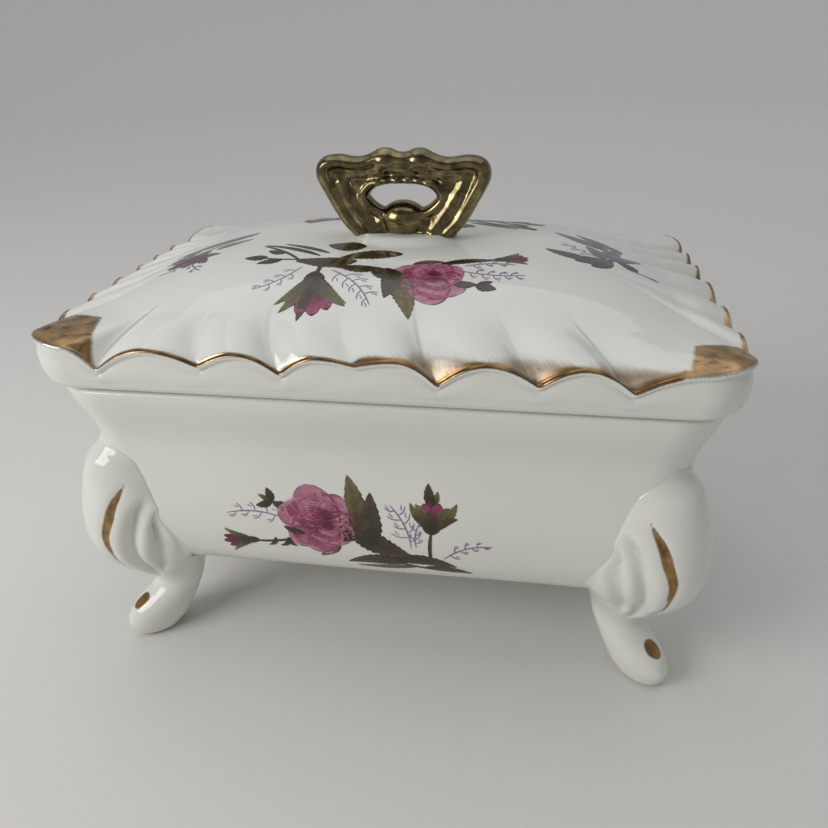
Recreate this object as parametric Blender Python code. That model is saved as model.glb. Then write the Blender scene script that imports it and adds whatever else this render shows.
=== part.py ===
"""Footed porcelain butter dish with a scalloped lift-off lid and a gilded loop handle.

The open dish stands on four scroll feet luted to its corners. The lid seats on the rim with
its locating flange inside the dish, and the loop handle is luted to a flat seat on the dome.
Frame: metres, origin on the table under the middle of the dish, +X along the length,
+Y to the back, +Z up.
"""

import math

import bmesh
import bpy
import numpy as np
from mathutils import Matrix, Vector

# ---- Driving dimensions, in metres ----

LID_LENGTH = 0.168
LID_WIDTH = 0.117
LID_OVERHANG = 0.0025  # the lid's edge past the dish's rim, all round
RIM_HEIGHT = 0.085
STAND_HEIGHT = 0.0255  # the flat underside of the dish above the table
DISH_WALL = 0.004
DISH_FLOOR = 0.005
SEAT_GAP = 0.0003  # left between pieces that touch

# Dish: how far each part of the wall draws in from the rim's outline
DISH_CORNER_RADIUS = 0.014
CORNER_TIGHTENING = 0.6  # loss of plan radius for each metre that a ring draws in
WAIST_DRAW = 0.0043
WAIST_DROP = 0.0175  # below the rim
BELLY_DRAW = 0.0023
BELLY_RISE = 0.023  # above the underside
TUCK_DRAW = 0.015  # the rounded turn under the belly
RIM_ROUNDING = 0.001
DISH_STEPS = 4  # rings along each of the wall's three stretches

# Lid
LID_CORNER_RADIUS = 0.005
LID_END_BOW = 0.0015  # how far the middle of each short side swells past its corners
LID_WALL = 0.004
SKIRT_HEIGHT = 0.0092  # from the seat to the level that the dome springs from
SKIRT_ROUNDING = 0.0028
LIP_PROUD = 0.0008  # the scalloped edge past the skirt
LIP_THICKNESS = 0.0014
DOME_RISE = 0.0153
DOME_SQUARENESS = (3.6, 3.0)  # along the length and across it; higher is flatter on top
CREST_RISE = 0.0028  # scallop crests above the level that the dome springs from
CORNER_TIP_RISE = 0.0018  # the leaf at each corner above the crests
FLUTE_REACH = 0.019  # how far the scallops run in over the dome
FLANGE_CLEARANCE = 0.0015
FLANGE_THICKNESS = 0.003
FLANGE_DEPTH = 0.005
FLANGE_CHAMFER = 0.0006

# Scallop notches along each side: place as a share of the straight half side, and depth.
# The sides are listed in the sense that runs front, right, back, left.
LONG_SIDE_NOTCHES = (
    (-0.91, 0.0058), (-0.57, 0.0045), (-0.31, 0.0052), (-0.065, 0.0018),
    (0.20, 0.0060), (0.51, 0.0045), (0.775, 0.0048),
)
RIGHT_SIDE_NOTCHES = (
    (-0.92, 0.0030), (-0.545, 0.0034), (-0.14, 0.0032), (0.32, 0.0034), (0.60, 0.0028), (0.88, 0.0028),
)
LEFT_SIDE_NOTCHES = (
    (-0.78, 0.0028), (-0.50, 0.0032), (-0.26, 0.0030), (-0.03, 0.0034), (0.32, 0.0034),
    (0.58, 0.0030), (0.91, 0.0032),
)
STEPS_PER_LOBE = 4
# Rings across the scalloped band, as shares of FLUTE_REACH from the edge inwards
BAND_SHARES = (0.0, 0.1, 0.26, 0.47, 0.73, 1.05)
# Rings over the dome, as shares of the way from that band to the handle's seat
DOME_SHARES = (0.70, 0.35)

# Handle
HANDLE_WIDTH = 0.048
HANDLE_HEIGHT = 0.0232
HANDLE_THICKNESS = 0.0088
HANDLE_EDGE_ROUNDING = 0.0016
HANDLE_SEAT_MARGIN = (0.0015, 0.003)  # flat seat past the handle's foot, along and across
HANDLE_SEAT_RISE = 0.0005
HANDLE_BALL_RADIUS = 0.0052
HANDLE_BALL_HEIGHT = 0.0037
# Right half of each outline, from the bottom middle to the top middle: shares of the half width
# and of the height.
HANDLE_OUTLINE = (
    (0.50, 0.0), (0.72, 0.17), (0.90, 0.48), (0.985, 0.70), (0.90, 0.835), (0.66, 0.85),
    (0.43, 0.83), (0.22, 0.985), (0.0, 0.945),
)
HANDLE_HOLE = ((0.0, 0.24), (0.25, 0.285), (0.425, 0.44), (0.27, 0.56), (0.0, 0.59))

# Feet: each section is (height, front, back, half width). A height of -1 is on the table, 0 is
# level with the dish's underside and 1 is the top of the knee. Front and back are measured
# outwards along the corner's diagonal from the centre of the rim's corner radius.
KNEE_RISE = 0.042
FOOT_SECTIONS = (
    (-1.00, 0.0106, 0.0030, 0.0036),
    (-0.96, 0.0120, 0.0008, 0.0050),
    (-0.86, 0.0135, -0.0020, 0.0066),
    (-0.70, 0.0144, -0.0050, 0.0080),
    (-0.55, 0.0137, -0.0072, 0.0087),
    (-0.44, 0.0088, -0.0086, 0.0090),
    (-0.35, 0.0038, -0.0100, 0.0092),
    (-0.24, 0.0046, -0.0116, 0.0100),
    (-0.10, 0.0088, -0.0137, 0.0125),
    (0.02, 0.0122, -0.0157, 0.0165),
    (0.14, 0.0152, -0.0162, 0.0192),
    (0.30, 0.0178, -0.0162, 0.0180),
    (0.48, 0.0188, -0.0142, 0.0158),
    (0.66, 0.0178, -0.0122, 0.0135),
    (0.84, 0.0154, -0.0102, 0.0108),
    (0.94, 0.0133, -0.0082, 0.0088),
    (1.00, 0.0095, -0.0062, 0.0060),
)
FOOT_WIDEST_SHARE = 0.42  # where a section is widest, from its back to its front
FOOT_SIDES = 18

# ---- Values that follow from them ----

DISH_HALF = (LID_LENGTH / 2 - LID_OVERHANG, LID_WIDTH / 2 - LID_OVERHANG)
LID_HALF = (LID_LENGTH / 2, LID_WIDTH / 2)
SEAT_LEVEL = RIM_HEIGHT + SEAT_GAP
SPRING_LEVEL = SEAT_LEVEL + SKIRT_HEIGHT
DOME_TOP = SPRING_LEVEL + DOME_RISE
HANDLE_SEAT_LEVEL = DOME_TOP + HANDLE_SEAT_RISE
HANDLE_SEAT = (
    HANDLE_OUTLINE[0][0] * HANDLE_WIDTH / 2 + HANDLE_SEAT_MARGIN[0],
    HANDLE_THICKNESS / 2 + HANDLE_SEAT_MARGIN[1],
)
FLANGE_CORNER_RADIUS = DISH_CORNER_RADIUS - CORNER_TIGHTENING * DISH_WALL - FLANGE_CLEARANCE
CORNER_CENTRE = (DISH_HALF[0] - DISH_CORNER_RADIUS, DISH_HALF[1] - DISH_CORNER_RADIUS)


# ---- Helpers ----


def clear_scene():
    for obj in list(bpy.data.objects):
        bpy.data.objects.remove(obj, do_unlink=True)


def make_material(name, colour, roughness, metallic):
    material = bpy.data.materials.new(name)
    material.use_nodes = True
    shader = material.node_tree.nodes["Principled BSDF"]
    shader.inputs["Base Color"].default_value = (*colour, 1.0)
    shader.inputs["Roughness"].default_value = roughness
    shader.inputs["Metallic"].default_value = metallic
    return material


def make_porcelain(name):
    return make_material(name, colour=(0.80, 0.80, 0.76), roughness=0.12, metallic=0.0)


def make_gold_lustre(name):
    return make_material(name, colour=(0.36, 0.29, 0.17), roughness=0.22, metallic=1.0)


def add_object(name, mesh, material=None):
    obj = bpy.data.objects.new(name, mesh)
    bpy.context.scene.collection.objects.link(obj)
    if material is not None:
        mesh.materials.append(material)
        mesh.shade_smooth()
        mesh.set_sharp_from_angle(angle=math.radians(50))
    return obj


def hide_helper(obj):
    """Keeps an object that only cuts or joins another out of the model."""
    obj.hide_render = True
    obj.display_type = "WIRE"


def outline_places(long_shares, short_shares, corner_steps):
    """Places round a rounded rectangle, anticlockwise from the front left, as an (n, 4) array.

    A row (cx, cy, nx, ny) becomes the point (cx (a - r) + nx r, cy (b - r) + ny r) of a
    rectangle with half sizes a and b and corner radius r. Each side takes its shares of the
    straight half side from its list; each corner adds evenly turned places between two sides.
    """
    rows = []
    sides = ((0, -1), (1, 0), (0, 1), (-1, 0))
    shares = (long_shares[0], short_shares[0], long_shares[1], short_shares[1])
    for turn, ((nx, ny), along) in enumerate(zip(sides, shares)):
        for share in along:
            rows.append((nx - ny * share, ny + nx * share, nx, ny))
        for step in range(1, corner_steps):
            angle = math.radians(90) * (turn - 1 + step / corner_steps)
            rows.append((nx - ny, ny + nx, math.cos(angle), math.sin(angle)))
    return np.array(rows, float)


def ring(places, half, radius, height):
    """One level ring, or one with its own height at each place."""
    x = places[:, 0] * (half[0] - radius) + places[:, 2] * radius
    y = places[:, 1] * (half[1] - radius) + places[:, 3] * radius
    return np.stack([x, y, np.broadcast_to(height, x.shape)], axis=1)


def loft(name, rings):
    """A closed mesh whose skin runs through the rings, with a flat face over each end."""
    form = bmesh.new()
    loops = [[form.verts.new(point) for point in points] for points in rings]
    count = len(loops[0])
    for low, high in zip(loops, loops[1:]):
        for i in range(count):
            j = (i + 1) % count
            form.faces.new((low[i], low[j], high[j], high[i]))
    form.faces.new(loops[0][::-1])
    form.faces.new(loops[-1])
    bmesh.ops.recalc_face_normals(form, faces=form.faces)
    if form.calc_volume(signed=True) < 0:
        bmesh.ops.reverse_faces(form, faces=form.faces)
    mesh = bpy.data.meshes.new(name)
    form.to_mesh(mesh)
    form.free()
    return mesh


# ---- Dish ----


def dish_profile(steps):
    """Draw and height of the outer wall from the rim's shoulder down to the underside.

    Two cosine easings lead from the rim to the waist and on to the belly; a quarter ellipse
    then turns the wall under.
    """
    stretches = (
        (0.0, RIM_HEIGHT - RIM_ROUNDING, WAIST_DRAW, RIM_HEIGHT - WAIST_DROP),
        (WAIST_DRAW, RIM_HEIGHT - WAIST_DROP, BELLY_DRAW, STAND_HEIGHT + BELLY_RISE),
    )
    points = []
    for draw_a, height_a, draw_b, height_b in stretches:
        for step in range(steps):
            share = step / steps
            ease = (1 - math.cos(math.pi * share)) / 2
            points.append((draw_a + (draw_b - draw_a) * ease, height_a + (height_b - height_a) * share))
    for step in range(steps + 1):
        angle = math.radians(90) * step / steps
        draw = BELLY_DRAW + TUCK_DRAW * (1 - math.cos(angle))
        points.append((draw, STAND_HEIGHT + BELLY_RISE * (1 - math.sin(angle))))
    return points


def dish_ring(places, draw, height):
    """The dish's outline, drawn in at this height."""
    radius = DISH_CORNER_RADIUS - CORNER_TIGHTENING * draw
    half = (DISH_HALF[0] - draw, DISH_HALF[1] - draw)
    return ring(places, half, radius, height)


def dish_places():
    even = np.linspace(-1, 1, 6)
    return outline_places((even, even), (even, even), 6)


def make_dish(material):
    """Outer wall from the underside up, over the rounded rim, and down inside to the floor."""
    places = dish_places()
    outer = dish_profile(DISH_STEPS)
    rings = [dish_ring(places, draw, height) for draw, height in reversed(outer)]
    for angle in (45, 90):
        short = RIM_ROUNDING * (1 - math.cos(math.radians(angle)))
        drop = RIM_ROUNDING * (1 - math.sin(math.radians(angle)))
        rings.append(dish_ring(places, short, RIM_HEIGHT - drop))
    rings.append(dish_ring(places, DISH_WALL - RIM_ROUNDING, RIM_HEIGHT))
    for draw, height in outer[: 2 * DISH_STEPS]:
        rings.append(dish_ring(places, draw + DISH_WALL, height))
    inner_floor = STAND_HEIGHT + DISH_FLOOR
    inner_belly_rise = BELLY_RISE - DISH_FLOOR
    for step in range(DISH_STEPS + 1):
        angle = math.radians(90) * step / DISH_STEPS
        draw = BELLY_DRAW + DISH_WALL + (TUCK_DRAW - DISH_WALL / 2) * (1 - math.cos(angle))
        rings.append(dish_ring(places, draw, inner_floor + inner_belly_rise * (1 - math.sin(angle))))
    return add_object("dish", loft("dish", rings), material)


def make_dish_envelope():
    """The dish's outer form, closed and larger by the seat gap: it cuts the feet to the wall."""
    places = dish_places()
    rings = []
    for draw, height in reversed(dish_profile(DISH_STEPS)):
        lowered = height - SEAT_GAP if height < STAND_HEIGHT + BELLY_RISE else height
        rings.append(dish_ring(places, draw - SEAT_GAP, lowered))
    rings.append(dish_ring(places, -SEAT_GAP, RIM_HEIGHT + DISH_WALL))
    envelope = add_object("dish_envelope", loft("dish_envelope", rings))
    hide_helper(envelope)
    return envelope


# ---- Feet ----


def foot_ring(height_share, front, back, half_width):
    """One level section: half an ellipse to the front and half to the back of its widest place."""
    rise = KNEE_RISE if height_share > 0 else STAND_HEIGHT
    height = STAND_HEIGHT + height_share * rise
    widest = back + FOOT_WIDEST_SHARE * (front - back)
    angles = np.linspace(0, 2 * math.pi, FOOT_SIDES, endpoint=False)
    reach = np.where(np.cos(angles) > 0, front - widest, widest - back)
    along = widest + reach * np.cos(angles)
    across = half_width * np.sin(angles)
    return np.stack([along, across, np.full(FOOT_SIDES, height)], axis=1)


def make_foot(name, side_x, side_y, envelope, material):
    """A scroll foot on the diagonal of one corner, cut to the dish's wall."""
    mesh = loft(name, [foot_ring(*section) for section in FOOT_SECTIONS])
    turn = Matrix.Rotation(math.atan2(side_y, side_x), 4, "Z")
    place = Matrix.Translation(Vector((side_x * CORNER_CENTRE[0], side_y * CORNER_CENTRE[1], 0)))
    mesh.transform(place @ turn)
    foot = add_object(name, mesh, material)
    cut = foot.modifiers.new("cut_to_wall", "BOOLEAN")
    cut.operation = "DIFFERENCE"
    cut.object = envelope
    cut.solver = "EXACT"
    return foot


# ---- Lid ----


def lobe_shares(notches):
    """Places along a side: every notch and both ends, with even steps across each lobe."""
    stops = [-1.0, *(share for share, depth in notches), 1.0]
    shares = []
    for start, end in zip(stops, stops[1:]):
        shares.extend(start + (end - start) * step / STEPS_PER_LOBE for step in range(STEPS_PER_LOBE))
    return [*shares, 1.0]


def notch_drops(shares, notches):
    """How far the edge dips at each share: full at a notch, nothing halfway to the next."""
    stops = np.array([-1.0, *(share for share, depth in notches), 1.0])
    shares = np.array(shares)
    drops = np.zeros(len(shares))
    for i, (place, depth) in enumerate(notches, start=1):
        before = (place - stops[i - 1]) / (1 if i == 1 else 2)
        after = (stops[i + 1] - place) / (1 if i == len(notches) else 2)
        reach = np.where(shares < place, before, after)
        closeness = np.clip(1 - np.abs(shares - place) / reach, 0, 1)
        drops = np.maximum(drops, depth * closeness**2)
    return drops


def lid_outline():
    """Places round the lid and the height of its scalloped edge at each."""
    sides = (LONG_SIDE_NOTCHES, RIGHT_SIDE_NOTCHES, LONG_SIDE_NOTCHES, LEFT_SIDE_NOTCHES)
    shares = [lobe_shares(notches) for notches in sides]
    corner_steps = 4
    places = outline_places((shares[0], shares[2]), (shares[1], shares[3]), corner_steps)
    crest = SPRING_LEVEL + CREST_RISE
    edge = []
    for side_shares, notches in zip(shares, sides):
        edge.extend(crest - notch_drops(side_shares, notches))
        for step in range(1, corner_steps):
            edge.append(crest + CORNER_TIP_RISE * math.sin(math.pi * step / corner_steps))
    return places, np.array(edge)


def dome_height(x, y):
    """A pillow: one minus a power of the place along the length, times the same across it."""
    along = 1 - np.minimum(np.abs(x / LID_HALF[0]), 1) ** DOME_SQUARENESS[0]
    across = 1 - np.abs(y / LID_HALF[1]) ** DOME_SQUARENESS[1]
    return SPRING_LEVEL + DOME_RISE * along * across


def lid_ring(places, inset, radius, height, bow=0.0):
    """The lid's outline drawn in by the inset; bow swells its short sides in the middle."""
    half = (LID_HALF[0] - inset, LID_HALF[1] - inset)
    points = ring(places, half, radius, height)
    points[:, 0] += bow * points[:, 0] / half[0] * (1 - (points[:, 1] / half[1]) ** 2)
    return points


def towards_middle(outer, middle, share):
    """A ring part of the way from an outer ring to the one round the middle."""
    return outer + (middle - outer) * share


def make_lid(material):
    places, edge = lid_outline()
    top = []
    for share in BAND_SHARES:
        fade = max(1 - share, 0) ** 2
        points = lid_ring(places, share * FLUTE_REACH, LID_CORNER_RADIUS, 0.0, LID_END_BOW * fade)
        points[:, 2] = dome_height(points[:, 0], points[:, 1]) + (edge - SPRING_LEVEL) * fade
        top.append(points)
    shoulder = top[-1]
    angles = np.arctan2(shoulder[:, 1] / LID_HALF[1], shoulder[:, 0] / LID_HALF[0])
    seat = np.stack([HANDLE_SEAT[0] * np.cos(angles), HANDLE_SEAT[1] * np.sin(angles)], axis=1)
    seat = np.column_stack([seat, np.full(len(angles), HANDLE_SEAT_LEVEL)])
    rings = [seat]
    for share in DOME_SHARES:
        points = towards_middle(shoulder, seat, share)
        points[:, 2] = dome_height(points[:, 0], points[:, 1])
        rings.append(points)
    rings.extend(reversed(top))

    corner = LID_CORNER_RADIUS
    rings.append(lid_ring(places, LIP_PROUD, corner, edge - LIP_THICKNESS, LID_END_BOW))
    for angle in (0, 45, 90):
        inset = LIP_PROUD + SKIRT_ROUNDING * (1 - math.cos(math.radians(angle)))
        height = SEAT_LEVEL + SKIRT_ROUNDING * (1 - math.sin(math.radians(angle)))
        rings.append(lid_ring(places, inset, corner, height, LID_END_BOW))
    flange_outer = LID_OVERHANG + DISH_WALL + FLANGE_CLEARANCE
    flange_inner = flange_outer + FLANGE_THICKNESS
    flange_foot = SEAT_LEVEL - FLANGE_DEPTH
    flange_rings = (
        (flange_outer, SEAT_LEVEL),
        (flange_outer, flange_foot + FLANGE_CHAMFER),
        (flange_outer + FLANGE_CHAMFER, flange_foot),
        (flange_inner - FLANGE_CHAMFER, flange_foot),
        (flange_inner, flange_foot + FLANGE_CHAMFER),
        (flange_inner, SPRING_LEVEL - LID_WALL / 2),
    )
    corner = FLANGE_CORNER_RADIUS
    rings.extend(lid_ring(places, inset, corner, height) for inset, height in flange_rings)
    under = lid_ring(places, FLUTE_REACH, corner, 0.0)
    under[:, 2] = dome_height(under[:, 0], under[:, 1]) - LID_WALL
    middle = seat.copy()
    middle[:, 2] = DOME_TOP - LID_WALL
    half_way = towards_middle(under, middle, 0.5)
    half_way[:, 2] = dome_height(half_way[:, 0], half_way[:, 1]) - LID_WALL
    rings.extend([under, half_way, middle])
    return add_object("lid", loft("lid", rings), material)


# ---- Handle ----


def add_outline(curve, half_outline, closed_at_bottom):
    """A smooth closed spline through half an outline and its mirror image."""
    mirrored = [(-x, z) for x, z in reversed(half_outline) if x > 0]
    points = [*half_outline, *mirrored]
    spline = curve.splines.new("BEZIER")
    spline.bezier_points.add(len(points) - 1)
    for knot, (x, z) in zip(spline.bezier_points, points):
        knot.co = (x * HANDLE_WIDTH / 2, z * HANDLE_HEIGHT, 0)
        knot.handle_left_type = "AUTO"
        knot.handle_right_type = "AUTO"
    if closed_at_bottom:
        for knot in (spline.bezier_points[0], spline.bezier_points[-1]):
            knot.handle_left_type = "VECTOR"
            knot.handle_right_type = "VECTOR"
    spline.use_cyclic_u = True
    spline.resolution_u = 3


def make_handle_ball():
    """The ball at the foot of the loop, flattened where it would reach the handle's seat."""
    form = bmesh.new()
    bmesh.ops.create_uvsphere(form, u_segments=16, v_segments=10, radius=HANDLE_BALL_RADIUS)
    lowest = HANDLE_EDGE_ROUNDING / 2 - HANDLE_BALL_HEIGHT
    bmesh.ops.bisect_plane(
        form,
        geom=[*form.verts, *form.edges, *form.faces],
        plane_co=(0, 0, lowest),
        plane_no=(0, 0, -1),
        clear_outer=True,
    )
    bmesh.ops.holes_fill(form, edges=form.edges)
    bmesh.ops.translate(form, verts=form.verts, vec=(0, 0, HANDLE_SEAT_LEVEL + SEAT_GAP + HANDLE_BALL_HEIGHT))
    bmesh.ops.recalc_face_normals(form, faces=form.faces)
    mesh = bpy.data.meshes.new("handle_ball")
    form.to_mesh(mesh)
    form.free()
    ball = add_object("handle_ball", mesh)
    hide_helper(ball)
    return ball


def make_handle(material):
    """The flat loop cut from its outline, joined with the ball in its throat."""
    curve = bpy.data.curves.new("handle_outline", "CURVE")
    curve.dimensions = "2D"
    curve.fill_mode = "BOTH"
    curve.extrude = HANDLE_THICKNESS / 2 - HANDLE_EDGE_ROUNDING
    curve.bevel_depth = HANDLE_EDGE_ROUNDING
    curve.bevel_resolution = 1
    curve.offset = -HANDLE_EDGE_ROUNDING
    add_outline(curve, HANDLE_OUTLINE, True)
    add_outline(curve, HANDLE_HOLE, False)
    pattern = bpy.data.objects.new("handle_outline", curve)
    bpy.context.scene.collection.objects.link(pattern)
    bpy.context.view_layer.update()
    mesh = bpy.data.meshes.new_from_object(pattern.evaluated_get(bpy.context.evaluated_depsgraph_get()))
    bpy.data.objects.remove(pattern, do_unlink=True)
    form = bmesh.new()
    form.from_mesh(mesh)
    bmesh.ops.remove_doubles(form, verts=form.verts, dist=1e-6)
    bmesh.ops.recalc_face_normals(form, faces=form.faces)
    form.to_mesh(mesh)
    form.free()
    mesh.name = "handle"
    lift = Matrix.Translation(Vector((0, 0, HANDLE_SEAT_LEVEL + SEAT_GAP)))
    mesh.transform(lift @ Matrix.Rotation(math.radians(90), 4, "X"))
    handle = add_object("handle", mesh, material)
    union = handle.modifiers.new("join_ball", "BOOLEAN")
    union.operation = "UNION"
    union.object = make_handle_ball()
    union.solver = "EXACT"
    return handle


# ---- Assembly ----


def main():
    clear_scene()
    dish = make_dish(make_porcelain("dish_porcelain"))
    envelope = make_dish_envelope()
    for end, side_y in (("front", -1), ("rear", 1)):
        for hand, side_x in (("left", -1), ("right", 1)):
            name = f"foot_{end}_{hand}"
            foot = make_foot(name, side_x, side_y, envelope, make_porcelain(f"{name}_porcelain"))
            foot.parent = dish

    lid_lift = bpy.data.objects.new("lid_lift", None)
    bpy.context.scene.collection.objects.link(lid_lift)
    lid = make_lid(make_porcelain("lid_porcelain"))
    handle = make_handle(make_gold_lustre("handle_gold_lustre"))
    lid.parent = lid_lift
    handle.parent = lid


main()
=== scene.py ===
"""Looks of a footed porcelain butter dish: rose transfers, gold-brushed scalloped lid, lustred handle.

Lengths are in millimetres until a mesh is made. +X is along the length, +Y to the back, +Z up.
"""

import math

import bpy
import numpy as np
from mathutils import Matrix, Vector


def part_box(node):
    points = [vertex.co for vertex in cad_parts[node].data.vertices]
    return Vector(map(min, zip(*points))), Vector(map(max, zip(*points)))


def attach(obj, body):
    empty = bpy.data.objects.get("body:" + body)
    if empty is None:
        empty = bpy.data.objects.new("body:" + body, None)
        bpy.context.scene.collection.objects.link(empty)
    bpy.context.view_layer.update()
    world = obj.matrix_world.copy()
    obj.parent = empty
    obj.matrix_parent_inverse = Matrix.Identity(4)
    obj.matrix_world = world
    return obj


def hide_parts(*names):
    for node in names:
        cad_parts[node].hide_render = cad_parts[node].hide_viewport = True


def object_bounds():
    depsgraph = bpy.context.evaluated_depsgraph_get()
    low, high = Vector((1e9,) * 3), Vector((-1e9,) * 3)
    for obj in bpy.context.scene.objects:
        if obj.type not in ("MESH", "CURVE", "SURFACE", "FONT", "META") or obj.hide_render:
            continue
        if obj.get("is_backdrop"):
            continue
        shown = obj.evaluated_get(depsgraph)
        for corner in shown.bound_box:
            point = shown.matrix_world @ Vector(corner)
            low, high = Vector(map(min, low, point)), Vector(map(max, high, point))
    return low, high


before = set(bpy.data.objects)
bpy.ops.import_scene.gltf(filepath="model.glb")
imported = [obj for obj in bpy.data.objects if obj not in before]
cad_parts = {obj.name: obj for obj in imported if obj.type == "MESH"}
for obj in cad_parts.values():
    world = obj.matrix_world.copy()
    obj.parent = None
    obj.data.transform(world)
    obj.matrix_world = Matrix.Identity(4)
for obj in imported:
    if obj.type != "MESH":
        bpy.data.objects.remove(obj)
cad_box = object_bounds()


# ---- The dish ----
# The open tub: white porcelain slip-cast in a mould, fettled by hand, dipped in clear glaze and
# fired. Its wall is waisted under the rim and turns under to a flat base.

MM = 0.001
dish_low, dish_high = (np.array(corner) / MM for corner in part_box("dish"))
RIM = dish_high[2]
STAND = dish_low[2]
DISH_HALF = dish_high[:2]
DISH_CORNER = 14.0
CORNER_TIGHTENING = 0.6  # loss of plan radius for each millimetre that a ring draws in
WAIST = (4.3, RIM - 17.5)  # how far the wall draws in, and the height there
BELLY = (2.3, STAND + 23.0)
TUCK = 15.0
WALL = 4.0
FLOOR = 5.0
RIM_ROUND = 1.2  # height of the rim's rounding
BOWL_EASE = 2.0  # how much less the inside turns in than the outside
MIDDLE = 54.0  # inset of the innermost ring of base and floor
HAND_WAVE = 0.16  # how far hand finishing leaves the wall off true
GLAZE_IOR = 1.52


def stack(*parts):
    """The parts spread to one common shape and stacked along a new last axis."""
    return np.stack(np.broadcast_arrays(*parts), axis=-1)


def outline_places(shares, corner_steps):
    """Places round a rounded rectangle, anticlockwise from the front left corner.

    A row (cx, cy, nx, ny) stands for the point (cx (a - r) + nx r, cy (b - r) + ny r) of a
    rectangle with half sizes a and b and corner radius r. Each side has its own shares of the
    straight half side, and each corner adds evenly turned places.
    """
    rows = []
    for turn, ((nx, ny), along) in enumerate(zip(((0, -1), (1, 0), (0, 1), (-1, 0)), shares)):
        angle = np.radians(90) * (turn - 1 + np.arange(1, corner_steps) / corner_steps)
        rows.append(stack(nx - ny * along, ny + nx * along, nx, ny))
        rows.append(stack(nx - ny, ny + nx, np.cos(angle), np.sin(angle)))
    return np.concatenate(rows)


def ring_grid(places, half, inset, radius, height):
    """Rings of the outline: one for each inset, with its corner radius and its height."""
    inset, radius = (np.asarray(value, float).reshape(-1, 1) for value in (inset, radius))
    x = places[:, 0] * (half[0] - inset - radius) + places[:, 2] * radius
    y = places[:, 1] * (half[1] - inset - radius) + places[:, 3] * radius
    return stack(x, y, height)


def ring_quads(rings, places):
    """Point numbers ring by ring, and quads from each ring to the next and last place to first."""
    index = np.arange(rings * places).reshape(rings, places)
    beside = np.roll(index, -1, axis=1)
    return index, stack(index[:-1], beside[:-1], beside[1:], index[1:]).reshape(-1, 4)


def skin(grid):
    """Points and faces of a closed skin through a grid (rings, places, 3).

    A fan to the middle of the ring closes each end of the quads. The faces turn over if the
    volume inside comes out negative.
    """
    rings, places = grid.shape[:2]
    index, quads = ring_quads(rings, places)
    first, last = rings * places, rings * places + 1
    fans = np.concatenate([
        stack(np.roll(index[0], -1), index[0], first), stack(index[-1], np.roll(index[-1], -1), last),
    ])
    points = np.concatenate([grid.reshape(-1, 3), [grid[0].mean(axis=0), grid[-1].mean(axis=0)]])
    halves = np.concatenate([quads[:, [0, 1, 2]], quads[:, [0, 2, 3]], fans])
    if np.linalg.det(points[halves] - points.mean(axis=0)).sum() < 0:
        quads, fans = quads[:, ::-1], fans[:, ::-1]
    return points, quads, fans


def with_ends(values):
    """A value for each point of a skin: the grid's own, then the mean of each end ring."""
    flat = values.reshape(-1, *values.shape[2:])
    return np.concatenate([flat, [values[0].mean(axis=0), values[-1].mean(axis=0)]])


def add_object(name, data):
    """An object of its data, linked to the scene."""
    thing = bpy.data.objects.new(name, data)
    bpy.context.scene.collection.objects.link(thing)
    return thing


def add_mesh(name, points, faces, material):
    """A smooth mesh object of points in metres and lists of point numbers."""
    mesh = bpy.data.meshes.new(name)
    mesh.from_pydata(points, [], faces)
    mesh.shade_smooth()
    mesh.materials.append(material)
    return add_object(name, mesh)


def make_piece(name, skins, material, body, layers=None, turned=False):
    """One mesh object of the skins, riding on a body; layers are vectors kept at each point."""
    points, faces, offset = [], [], 0
    for skin_points, quads, fans in skins:
        points.append(skin_points)
        faces += (quads + offset).tolist() + (fans + offset).tolist()
        offset += len(skin_points)
    points = np.concatenate(points) * MM
    piece = add_mesh(name, points * (-1, -1, 1) if turned else points, faces, material)
    for layer, values in (layers or {}).items():
        attribute = piece.data.attributes.new(layer, "FLOAT_VECTOR", "POINT")
        attribute.data.foreach_set("vector", values.ravel())
    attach(piece, body)
    return piece


def linear(hex_colour):
    """The linear value, with alpha, of an sRGB hex colour."""
    shares = [int(hex_colour[i : i + 2], 16) / 255 for i in (1, 3, 5)]
    return (*(c / 12.92 if c <= 0.04045 else ((c + 0.055) / 1.055) ** 2.4 for c in shares), 1.0)


def set_inputs(tree, node, inputs):
    """Gives a node's inputs, named or in order, a value, an output, or a node's first output."""
    for socket, source in inputs.items() if isinstance(inputs, dict) else enumerate(inputs):
        if isinstance(source, bpy.types.Node):
            source = source.outputs[0]
        if isinstance(source, bpy.types.NodeSocket):
            tree.links.new(source, node.inputs[socket])
        else:
            node.inputs[socket].default_value = source


def add_node(tree, kind, inputs=(), **settings):
    """Adds a shader node with its settings and inputs.

    A Mix node takes its factor at 0 and its two colours at 6 and 7, and gives a colour at 2; its
    two numbers are at 2 and 3. A MapRange takes the value, then from low and high, to low and high.
    """
    node = tree.nodes.new("ShaderNode" + kind)
    for name, value in settings.items():
        setattr(node, name, value)
    set_inputs(tree, node, inputs)
    return node


def new_material(name):
    """An empty material with one Principled shader; returns it, its tree and the shader."""
    material = bpy.data.materials.new(name)
    material.use_nodes = True
    return material, material.node_tree, material.node_tree.nodes["Principled BSDF"]


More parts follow.
